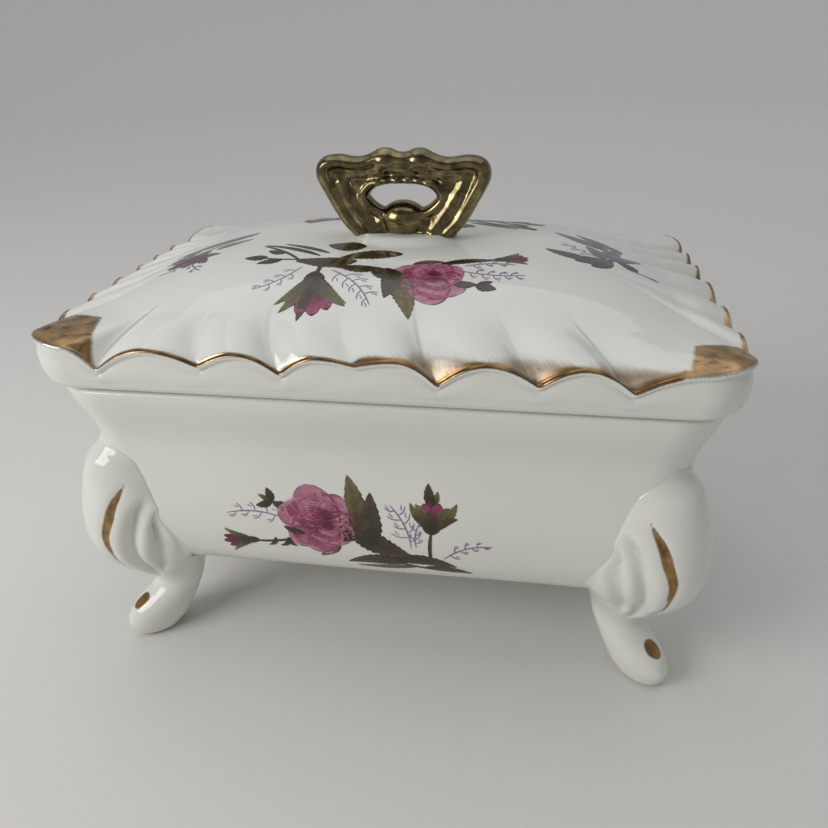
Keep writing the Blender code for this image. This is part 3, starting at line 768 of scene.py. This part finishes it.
# The thick arm that fills the frame from the foot up to the ear
ARM_ROLL = np.array((
    (8.6, 0.6, 3.6, 4.0), (10.8, 3.6, 3.6, 3.9), (13.4, 7.6, 3.5, 3.7), (15.8, 11.4, 3.2, 3.2),
    (17.4, 14.4, 2.6, 2.6),
))
# Blobs of clay in each half: x, height, then half sizes along, through and up
CLAY = (
    (0.0, 4.3, 6.4, 5.9, 4.9), (4.6, 19.2, 4.5, 4.0, 3.6), (0.0, 17.6, 7.5, 3.2, 2.9),
    (17.2, 15.6, 4.4, 2.4, 4.0), (12.4, 16.4, 4.8, 2.9, 2.8), (8.0, 0.2, 7.0, 4.2, 1.2),
    (6.6, 16.8, 4.4, 3.1, 2.4), (12.0, 13.4, 3.2, 2.7, 3.6), (5.8, 2.8, 3.6, 3.4, 3.6),
)
HOLE_BEADS = ((1.5, 14.7), (4.3, 14.6), (6.9, 14.0))


def mirrored(half_line):
    """A half line from its bottom to its top, then its mirror image back down."""
    other = half_line[::-1] * (-1, 1, 1, 1)
    return np.concatenate([half_line, other[np.abs(other[:, 0]) > 0]])


def roll(line, closed):
    """An oval section carried along a line in the loop's plane, its size eased from knot to knot."""
    if closed:
        line = np.concatenate([line[-3:], line, line[:4]])
    knots = np.arange(len(line), dtype=float)
    at = np.linspace(3, len(line) - 4, 320) if closed else np.linspace(0, len(line) - 1, 320)
    x, z, radius, half_thick = smooth_through(at, knots, line).T[..., None]
    run = np.gradient(np.hstack([x, z]), axis=0)
    run = run / np.linalg.norm(run, axis=1, keepdims=True)
    turn = np.linspace(0, 2 * np.pi, 28, endpoint=False)
    aside, up = radius * np.cos(turn) * run[:, 1:], radius * np.cos(turn) * run[:, :1]
    return stack(x + aside, half_thick * np.sin(turn) + 0 * x, z - up + HANDLE_FOOT)


def ball(x, z, along, through, up, y=0.0):
    """An egg: a circle turned about the upright axis, with its own half size each way."""
    tilt = np.linspace(-88, 88, 24)[:, None] * np.pi / 180
    turn = np.linspace(0, 2 * np.pi, 32, endpoint=False)
    level = np.cos(tilt)
    places = (x + along * level * np.cos(turn), y + through * level * np.sin(turn))
    return stack(*places, z + HANDLE_FOOT + up * np.sin(tilt))


def gold_lustre():
    """Liquid bright gold over glaze: a dark olive-brown mirror.

    Brushing leaves bands about 2 mm wide in tone and faint drag lines in the surface.
    """
    material, tree, shader = new_material("gold_lustre_over_porcelain")
    place = add_node(tree, "TexCoord").outputs["Object"]
    bands = add_node(tree, "TexNoise", {"Vector": place, "Scale": 330.0, "Detail": 4.0, "Distortion": 0.6})
    tone = add_node(tree, "MapRange", (bands, 0.35, 0.68))
    colour = add_node(tree, "Mix", {0: tone, 6: linear("#5B533E"), 7: linear("#978963")}, data_type="RGBA")
    worn = add_node(tree, "TexNoise", {"Vector": place, "Scale": 900.0, "Detail": 3.0})
    rough = add_node(tree, "MapRange", (worn, 0.3, 0.75, 0.12, 0.27))
    drag_place = add_node(tree, "VectorMath", (place, (1.0, 1.0, 0.35)), operation="MULTIPLY")
    drag = add_node(tree, "TexNoise", {"Vector": drag_place, "Scale": 700.0, "Detail": 2.0})
    surface = add_node(tree, "Bump", {"Height": drag, "Strength": 0.5, "Distance": 0.00008})
    looks = {"Base Color": colour.outputs[2], "Roughness": rough, "Normal": surface, "Metallic": 1.0}
    set_inputs(tree, shader, looks)
    return material


def blend_clay(piece):
    """Welds the overlapping forms into one skin, as wet clay is smoothed over its joins."""
    weld = piece.modifiers.new("weld", "REMESH")
    weld.mode = "VOXEL"
    weld.voxel_size = VOXEL * MM
    weld.use_smooth_shade = True
    sponge = piece.modifiers.new("sponge", "SMOOTH")
    sponge.factor = 0.5
    sponge.iterations = 5
    welded = bpy.data.meshes.new_from_object(piece.evaluated_get(bpy.context.evaluated_depsgraph_get()))
    piece.modifiers.clear()
    piece.data = welded


forms = [skin(roll(mirrored(RIM_ROLL), closed=False)), skin(roll(mirrored(HOLE_ROLL), closed=True))]
forms += [skin(roll(ARM_ROLL * (side, 1, 1, 1), closed=False)) for side in (1, -1)]
for x, z, *sizes in CLAY:
    forms += [skin(ball(side * x, z, *sizes)) for side in ((1, -1) if x else (1,))]
for x, z in HOLE_BEADS:
    forms += [skin(ball(side * x, z, 1.0, 0.9, 0.8, y)) for side in (1, -1) for y in (-3.0, 3.0)]
handle = make_piece("loop_handle", forms, gold_lustre(), "cover")
blend_clay(handle)
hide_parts("handle")


# ---- The rose transfers ----
# Sprays of moss roses printed in ceramic ink on gum film, slid on to the glaze and fired once more
# until the ink sinks in. The dish has one on its front and one on its back, the lid one each side
# of the handle and a small sprig near each end of its front half.

FILM = 0.045  # the ink stands this far off the glaze, and each overprint a little more
OVERPRINT = 0.008
OVERPRINT_RISE, OVERPRINTS = 0.12, 9  # share of an overprint that each stroke adds, and the most
BACK_SHIFT = 3.0  # the spray behind the handle was slid on a little nearer the edge
# Places across a stroke, the last under its middle, and how far each is lifted
ACROSS = np.array([-1.0, -0.94, -0.82, -0.45, 0.0, 0.45, 0.82, 0.94, 1.0, 0.0])
LIFTED = np.array([-0.03, 1.0, 1.0, 1.0, 1.0, 1.0, 1.0, 1.0, -0.03, -0.08])
ROSE_PINK, ROSE_ROSE, ROSE_DEEP, ROSE_WINE = "#C98BA2", "#A8456F", "#7C2147", "#470E25"
LEAF_DARK, LEAF_BROWN, LEAF_OLIVE, LEAF_GREY = "#2F2A1C", "#54452F", "#7E7448", "#5E666C"
LILAC, MAUVE = "#9682A0", "#7C6580"
BROWN_LEAF, OLIVE_LEAF, WINE_BUD = (LEAF_DARK, LEAF_BROWN), (LEAF_DARK, LEAF_OLIVE), (ROSE_WINE, ROSE_DEEP)
draws = np.random.default_rng(7)  # seeded, so every run draws the same


def blade(
    base, tip, width, bend, inner, outer, teeth=0, full=0.75, widest=1.0, steps=15, rim=0.25, rib=0.25,
):
    """One stroke of the print: a flat tapering form about a bowed line from base to tip.

    Its half width is a power of a sine along it, notched into teeth for a leaf. The colour runs
    from the inner tint to the outer one, darker on its rim, along its rib and in its side veins.
    Returns plan places, how lifted each is from 0 to 1, and linear colours.
    """
    base, tip = np.asarray(base, float), np.asarray(tip, float)
    reach = tip - base
    aside = np.array([-reach[1], reach[0]])
    u = np.linspace(0.004, 0.996, steps)[:, None]
    middle = base + reach * u + aside * bend * 4 * u * (1 - u)
    run = reach + aside * bend * 4 * (1 - 2 * u)
    normal = stack(-run[:, 1], run[:, 0]) / np.linalg.norm(run, axis=1, keepdims=True)
    saw = 1 - 0.17 * ((u * teeth) % 1.0) if teeth else 1.0
    half = width / 2 * np.sin(np.pi * u**widest) ** full * saw
    places = middle[:, None, :] + normal[:, None, :] * (half * ACROSS)[..., None]
    tints = [np.array(linear(tint)[:3]) for tint in (inner, outer)]
    colour = tints[0] + (tints[1] - tints[0]) * (u**1.2)[..., None]
    edge = np.maximum(np.abs(ACROSS) > 0.9, (u > 0.93))
    veins = 0.5 + 0.5 * np.cos(2 * np.pi * (max(teeth, 3) * u - 1.4 * np.abs(ACROSS)))
    shade = 1 - rim * edge - rib * (ACROSS == 0) - 0.16 * veins
    return places, np.broadcast_to(LIFTED, shade.shape), colour * shade[..., None]


def leaves(*rows, tints=BROWN_LEAF, teeth=5):
    """Finely toothed rose leaves, widest below their middle; a row is base, tip, width and bend."""
    saw = {"teeth": 2 * teeth - 1, "steps": 10 * teeth - 4}
    return [blade(row[:2], row[2:4], *row[4:], *tints, full=0.8, widest=0.8, **saw) for row in rows]


def stalks(*rows, tints=BROWN_LEAF):
    """Even strokes with rounded ends; a row is base, tip, width and bend."""
    return [blade(row[:2], row[2:4], *row[4:], *tints, full=0.22, steps=13, rib=0.0) for row in rows]


def turned(vector, degrees):
    """A plan vector turned anticlockwise."""
    c, s = math.cos(math.radians(degrees)), math.sin(math.radians(degrees))
    return np.array([c * vector[0] - s * vector[1], s * vector[0] + c * vector[1]])


def moss(*rows, tint=LILAC):
    """Mossy twigs: thin bowed stalks with curling, forked hairs on alternate sides, shorter to the tip.

    A row is base, tip, bend, number of hairs and their length.
    """
    strokes = []
    for *ends, bend, hairs, length in rows:
        base, reach = np.array(ends[:2]), np.subtract(ends[2:], ends[:2])
        aside = np.array([-reach[1], reach[0]])
        twig = [(*ends, 0.42, bend)]
        for i in range(hairs):
            u = 0.18 + 0.78 * i / hairs
            root = base + reach * u + aside * bend * 4 * u * (1 - u)
            side = 1 if i % 2 else -1
            way = turned(reach / np.linalg.norm(reach), side * (48 + 14 * draws.random()))
            end = root + way * length * (1.05 - 0.45 * u) * (0.85 + 0.3 * draws.random())
            fork = root + (end - root) * 0.55
            fork_end = fork + turned(way, -38 * side) * length * 0.36
            twig += [(*root, *end, 0.34, 0.16 * side), (*fork, *fork_end, 0.28, 0.1)]
        strokes += stalks(*twig, tints=(tint, tint))
    return strokes


def rose(centre, size, lean):
    """An open bloom: rounds of overlapping petals, pale and broad outside, wine-dark at the heart.

    The heart sits off the middle of the bloom, towards the lean, as in a flower seen from one side.
    """
    centre, size, lean = (np.asarray(value, float) for value in (centre, size, lean))
    strokes = []
    rounds = (  # petals, reach, breadth, tints, first angle
        (6, 0.51, 0.58, (ROSE_DEEP, ROSE_PINK), 20), (5, 0.44, 0.50, (ROSE_DEEP, ROSE_ROSE), 55),
        (4, 0.36, 0.48, (ROSE_ROSE, ROSE_PINK), 100), (3, 0.30, 0.40, (ROSE_WINE, ROSE_ROSE), 40),
        (3, 0.23, 0.30, (ROSE_DEEP, ROSE_PINK), 160), (2, 0.14, 0.20, (ROSE_WINE, ROSE_DEEP), 70),
    )
    for level, (count, reach, breadth, tints, first) in enumerate(rounds):
        shift = lean * size * level / len(rounds)
        for i in range(count):
            angle = first + 360 * i / count + 14 * (draws.random() - 0.5)
            way = np.array([math.cos(math.radians(angle)), math.sin(math.radians(angle))]) * size
            root = centre + shift + way * reach * 0.08
            end = centre + shift + way * reach * (0.92 + 0.16 * draws.random())
            strokes.append(blade(root, end, breadth * size.mean(), 0.10, *tints, full=0.42, widest=1.35,
                                 steps=16, rim=0.22, rib=0.06))
    return strokes


def bud(base, tip, width, tints=(ROSE_WINE, ROSE_ROSE)):
    """A furled bud of three petals held by toothed sepals and a round hip."""
    base, tip = np.asarray(base, float), np.asarray(tip, float)
    reach = tip - base
    sepals = [
        (*base, *(base + turned(reach, angle) * share), width * wide, bend)
        for angle, share, wide, bend in (
            (30, 0.98, 0.50, -0.08), (-32, 0.96, 0.55, 0.08),
            (10, 0.72, 0.34, -0.05), (-12, 0.66, 0.34, 0.05),
        )
    ]
    strokes = leaves(*sepals[:2], tints=OLIVE_LEAF, teeth=4)
    for angle, share in ((14, 0.92), (-13, 0.95), (0, 1.0)):
        end = base + turned(reach, angle) * share
        petal = (base + reach * 0.15, end, width * 0.52, 0.02, *tints)
        strokes.append(blade(*petal, full=0.5, widest=1.2, rim=0.5))
    strokes += leaves(*sepals[2:], teeth=3)
    hip = (base - reach * 0.12, base + reach * 0.36, width * 0.62, 0.0, *BROWN_LEAF)
    return [*strokes, blade(*hip, full=0.6)]


def ceramic_print():
    """Ceramic ink fired into the glaze: as glossy as the glaze, with a stipple of dots 0.3 mm wide."""
    material, tree, shader = new_material("fired_ceramic_transfer")
    ink = add_node(tree, "Attribute", attribute_name="ink").outputs["Vector"]
    place = add_node(tree, "TexCoord").outputs["Object"]
    dots = add_node(tree, "TexNoise", {"Vector": place, "Scale": 2600.0, "Detail": 2.0})
    patches = add_node(tree, "TexNoise", {"Vector": place, "Scale": 420.0, "Detail": 3.0})
    both = add_node(tree, "Math", (dots, patches), operation="ADD")
    value = add_node(tree, "MapRange", (both, 0.7, 1.3, 0.72, 1.34))
    colour = add_node(tree, "VectorMath", {0: ink, "Scale": value}, operation="SCALE")
    rough = add_node(tree, "MapRange", (patches, 0.3, 0.7, 0.08, 0.18))
    surface = add_node(tree, "Bump", {"Height": patches, "Strength": 0.3, "Distance": 0.00004})
    looks = {"Base Color": colour, "Roughness": rough, "Normal": surface, "IOR": GLAZE_IOR}
    set_inputs(tree, shader, looks)
    return material


def on_lid(places, lift):
    """Plan places laid on the lid's dome."""
    x, y = places[..., 0], places[..., 1]
    return stack(x, y, lid_top(x, y) + lift)


def on_front(places, lift):
    """Places given along and up, laid on the dish's front wall."""
    x, z = places[..., 0], places[..., 1]
    return stack(x, wall_draw(z) - DISH_HALF[1] + hand_wave(x, z) - lift, z)


def lay_transfer(name, strokes, lay, body, turned_about):
    """Lays the strokes on a surface in printing order, each round a hair above the one before."""
    skins, inks = [], []
    for order, (places, lifted, colour) in enumerate(strokes):
        height = FILM + OVERPRINT * min(order * OVERPRINT_RISE, OVERPRINTS)
        skins.append(skin(lay(places, lifted * height)))
        inks.append(with_ends(colour))
    return make_piece(name, skins, print_ink, body, {"ink": np.concatenate(inks)}, turned_about)


print_ink = ceramic_print()
dish_spray = [
    *moss((-22, 48.6, -39.8, 50, -0.1, 8, 3.6), (8.8, 42.5, 3.4, 55.6, -0.1, 8, 4.4),
        (10.2, 43, 11.6, 51.8, 0.1, 5, 2.6), (17.2, 39.4, 29.6, 45.2, 0.12, 7, 2.6)),
    *stalks((-19, 50, -27.2, 54.2, 0.5, 0.08), (-33.5, 41, -19.5, 44.2, 0.8, -0.06),
        (-2, 44, 14.2, 38.4, 1.3, -0.04), (13.9, 37.8, 14, 48, 1, 0.03), (-4, 44, 8.5, 38.6, 0.5, 0.16),
        (24, 33.6, 4, 37, 0.8, 0.05)), *leaves((-27.2, 54.2, -31.6, 53, 2.3, 0.05),
        (-27, 54.3, -28.5, 58.2, 2.5, 0), teeth=3), *leaves((-27.6, 54.4, -30.8, 56.2, 1.5, 0),
        tints=OLIVE_LEAF, teeth=3), *leaves((-21.6, 53, -26.9, 54.4, 3, 0.08), teeth=3),
    *leaves((-4.2, 44.5, -7.4, 63, 6.6, -0.03), tints=OLIVE_LEAF), *leaves((-1.5, 42, -1.6, 58.6, 6.4, 0)),
    *leaves((-7, 47.5, 9.2, 39.2, 7.4, -0.04), teeth=6), *leaves((-9, 43.5, -1.5, 50.5, 7, 0.1), teeth=4),
    *leaves((-10, 42.5, -15.8, 37, 3.4, 0.05)), *leaves((-19, 45.5, -24.6, 47.2, 2.6, 0.1), teeth=4),
    *leaves((-27.5, 42.8, -29.8, 39.6, 1.5, 0.2), (-24, 43.2, -26.6, 39.8, 1.7, 0.25),
        (-23.6, 43.2, -21.8, 40, 1.7, -0.2), teeth=3), *bud((-33.2, 41.2), (-42.4, 39.9), 4.2, WINE_BUD),
    *bud((14.1, 48.8), (14.2, 57.6), 7.4), *leaves((13.8, 50.5, 8.6, 56.6, 2.8, 0.1),
        (14.6, 50.5, 20.4, 57.2, 3.2, -0.1), tints=OLIVE_LEAF), *leaves((14.6, 49, 20.8, 53, 2.6, 0.1),
        (13.6, 49, 9.2, 53.2, 2.4, -0.1)), *leaves((14.3, 55.6, 13.2, 62.2, 3, 0.05), teeth=3),
    *leaves((14.4, 56.2, 15.6, 60.2, 1.9, -0.05), tints=OLIVE_LEAF, teeth=3),
    *leaves((7.2, 36.2, -8.6, 35, 4.6, -0.1), (3.6, 37.4, 20.6, 36, 4.4, 0.09), teeth=6),
    *leaves((12, 35, 24.6, 33.4, 2.8, 0.04)), *leaves((10.5, 35.2, -6.5, 33.6, 2.2, 0.03),
        tints=(LEAF_BROWN, LEAF_OLIVE)), *rose((-15.4, 48.6), (18.5, 20.5), (0.16, 0.08)),
]
lid_spray = [
    *moss((-22, -26.5, -31.8, -37.4, 0.1, 7, 3.4), (-14.2, -28, -1.8, -42, 0.08, 9, 4.6),
        (18, -26.6, 34, -27.2, -0.08, 9, 3.2), (19, -24, 31.5, -21.6, 0.08, 6, 2.6)),
    *stalks((4, -27.5, -24.5, -23.5, 1.4, 0.04), (-24, -22.4, -37, -11, 0.9, -0.04),
        (-17.6, -24.5, -17.8, -32, 1.1, 0.05), (12, -25, 29, -18.6, 1, 0.05),
        (-23, -22, -34, -21, 0.6, 0.05), (16.5, -33.6, 24.5, -33.6, 0.6, 0.05)),
    *leaves((-8.4, -11.4, -19, -10.6, 8.4, 0.06), (2.4, -17.4, -13.8, -21.4, 6.8, -0.08), teeth=6),
    *leaves((-8.6, -22.6, -25, -22.2, 6.4, 0.08), teeth=7), *leaves((-2, -26.8, -13.5, -25.4, 4, 0.08),
        (-19, -19.6, -36.8, -10.4, 2, -0.04), (-17, -17.6, -31.4, -9.8, 1.8, -0.03)),
    *leaves((-33, -20.8, -39.4, -20.6, 3.8, 0), (-29.4, -18, -34.4, -15.4, 3.2, 0),
        (-28.6, -22.2, -34.8, -24.6, 3.4, 0), teeth=3), *leaves((-0.6, -26.5, 8, -46, 7, 0.06),
        tints=OLIVE_LEAF, teeth=7), *leaves((1.5, -27, 1.2, -39.5, 5.6, 0.05),
        (-4, -26, 4.5, -33, 4.6, -0.05)), *leaves((13, -23.4, 27, -19.4, 3, 0.05), teeth=6),
    *bud((-17.7, -31), (-14.6, -46.6), 8.6), *leaves((-17.8, -31, -24.8, -42.8, 3.4, 0.08),
        (-17, -31, -7.4, -41.8, 3.4, -0.08), tints=OLIVE_LEAF), *leaves((-17.2, -36, -17.8, -48.6, 3.2, 0)),
    *bud((27, -18.8), (34.6, -16.2), 4.4, WINE_BUD), *leaves((17.2, -33.6, 22.8, -33, 3.4, 0),
        (22.4, -33.4, 27.4, -34.6, 3.8, 0), (22.8, -33, 26.4, -31.4, 2, 0), teeth=3),
    *rose((11.2, -31.6), (17, 18.6), (0.05, 0.08)), *leaves((6, -24, 14, -22.2, 2.6, 0.1), teeth=4),
]
GREY = (LEAF_GREY, "#8C8F96")
SLATE = ("#45484A", LEAF_GREY)
BLOOM = (-56.5, -15.5)  # middle of the left sprig's faint flower
corner_sprigs = [
    *moss((-57.5, -15, -62.5, -24, 0.1, 5, 3.4), (-55.5, -16, -50, -26, -0.1, 5, 3.2), tint=MAUVE),
    *stalks((-60, -16, -44.5, 4.6, 0.9, 0.03), tints=GREY), *leaves((-64.5, -8, -44.2, 6.4, 3.8, -0.03),
        tints=GREY, teeth=7), *leaves((-67.5, -16.5, -57, -4, 3.6, -0.05), tints=GREY),
    *leaves((-52, -9, -43.5, -1.5, 3.2, 0.06), tints=GREY, teeth=4),
]
for spoke in range(7):
    tip = BLOOM + turned((7.8 - 0.6 * (spoke % 3), 0), 51 * spoke + 12)
    corner_sprigs += leaves((*BLOOM, *tip, 4.4, 0.08), tints=(ROSE_WINE, MAUVE), teeth=4)
corner_sprigs += [
    *moss((55, -8, 44, 2.5, 0.08, 6, 3), tint="#9AA0A8"), *stalks((50, -10, 60, -6, 0.9, 0.1), tints=GREY),
    *leaves((57, 2, 42, 13.5, 4.6, 0.04), tints=GREY, teeth=6), *leaves((60.5, 4, 48, 14, 4, 0.04),
        tints=GREY), *leaves((50.5, -10.5, 39, -6, 5.2, 0.06), (46.6, -13.2, 55.2, -8.5, 6.4, 0.05),
        (50.8, -15.6, 56.3, -7.2, 5.4, -0.05), (57.5, -6, 67.8, -13.6, 3.8, 0.03), tints=SLATE),
    *leaves((55.5, -5, 60, 4.5, 5.2, 0.08), (56, -7, 65, -1, 4.4, 0.08), (54, -7.5, 50, 2.5, 4.6, -0.08),
        tints=GREY),
]
lid_back_spray = [(places - (0.0, BACK_SHIFT), lifted, colour) for places, lifted, colour in lid_spray]
lay_transfer("dish_rose_transfer_front", dish_spray, on_front, "base", False)
lay_transfer("dish_rose_transfer_back", dish_spray, on_front, "base", True)
lay_transfer("lid_rose_transfer_front", lid_spray, on_lid, "cover", False)
lay_transfer("lid_rose_transfer_back", lid_back_spray, on_lid, "cover", True)
lay_transfer("lid_end_sprigs", corner_sprigs, on_lid, "cover", False)


# ---- Studio ----
# A wide plain pale table that turns up into a wall all round, a window-like softbox close by on the
# left, a broad soft panel overhead, and the camera a little above the lid and right of the middle.

CAMERA_PLACE = (0.0331, -0.2017, 0.1612)
CAMERA_YAW, CAMERA_PITCH, CAMERA_ROLL = -0.156, 0.4854, -0.0183  # left, down and over, in radians
CAMERA_LENS, CAMERA_SHIFT = 31.77, 0.002
COVE_FLAT, COVE_ROUND, COVE_TOP = 1.7, 0.7, 2.3  # level radius, radius of the rise, height of the wall


def studio_floor():
    """A round table top that turns up through a quarter circle into a wall all round."""
    turn, around = angles(24), angles(97, 0, 360)[:-1]
    radius = np.concatenate([[0.3, 1.0], COVE_FLAT + COVE_ROUND * np.sin(turn), [COVE_FLAT + COVE_ROUND]])
    height = np.concatenate([[0, 0], COVE_ROUND * (1 - np.cos(turn)), [COVE_TOP]])
    grid = stack(radius[:, None] * np.cos(around), radius[:, None] * np.sin(around), height[:, None])
    index, quads = ring_quads(*grid.shape[:2])
    material, tree, shader = new_material("pale_paper_sweep")
    place = add_node(tree, "TexCoord").outputs["Object"]
    grain = add_node(tree, "TexNoise", {"Vector": place, "Scale": 900.0, "Detail": 3.0})
    tone = add_node(tree, "Mix", {0: grain, 6: linear("#DFDDDA"), 7: linear("#E4E2DF")}, data_type="RGBA")
    set_inputs(tree, shader, {"Base Color": tone.outputs[2], "Roughness": 0.85})
    faces = [index[0].tolist(), *quads[:, [0, 3, 2, 1]].tolist()]
    add_mesh("studio_floor", grid.reshape(-1, 3), faces, material)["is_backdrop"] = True


def softbox(name, place, aim, size, power, colour):
    """A rectangular light turned to face a point."""
    light = bpy.data.lights.new(name, "AREA")
    light.shape = "RECTANGLE"
    light.size, light.size_y = size
    light.energy = power
    light.color = linear(colour)[:3]
    way = Matrix.Translation(place).to_translation() - Matrix.Translation(aim).to_translation()
    facing = way.to_track_quat("Z", "Y").to_matrix().to_4x4()
    add_object(name, light).matrix_world = Matrix.Translation(place) @ facing


studio_floor()
softbox("window_softbox", (-0.46, -0.38, 0.38), (0, 0, 0.07), (0.36, 0.30), 2.0, "#FFFEFB")
softbox("ceiling_panel", (0.0, 0.8, 2.6), (0, 0.3, 0), (3.4, 3.0), 28.0, "#FBFCFF")
world = bpy.data.worlds.new("studio_room")
world.use_nodes = True
backdrop = {"Color": linear("#C8CCCE"), "Strength": 0.26}
set_inputs(world.node_tree, world.node_tree.nodes["Background"], backdrop)
bpy.context.scene.world = world

sin_yaw, cos_yaw = math.sin(CAMERA_YAW), math.cos(CAMERA_YAW)
sin_pitch, cos_pitch = math.sin(CAMERA_PITCH), math.cos(CAMERA_PITCH)
ahead = np.array([sin_yaw * cos_pitch, cos_yaw * cos_pitch, -sin_pitch])
level = np.array([cos_yaw, -sin_yaw, 0.0])
upright = np.cross(level, ahead)
right = level * math.cos(CAMERA_ROLL) + upright * math.sin(CAMERA_ROLL)
above = upright * math.cos(CAMERA_ROLL) - level * math.sin(CAMERA_ROLL)
camera = add_object("camera", bpy.data.cameras.new("camera"))
camera_rows = [(*axes, place) for *axes, place in zip(right, above, -ahead, CAMERA_PLACE)]
camera.matrix_world = Matrix([*camera_rows, (0, 0, 0, 1)])
camera.data.lens = CAMERA_LENS
camera.data.shift_x = CAMERA_SHIFT
camera.data.clip_start = MM
bpy.context.scene.camera = camera
bpy.context.scene.view_settings.view_transform = "Standard"

sizes = {"cad": cad_box, "visual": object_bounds()}
{key: [list(map(float, corner)) for corner in box] for key, box in sizes.items()}
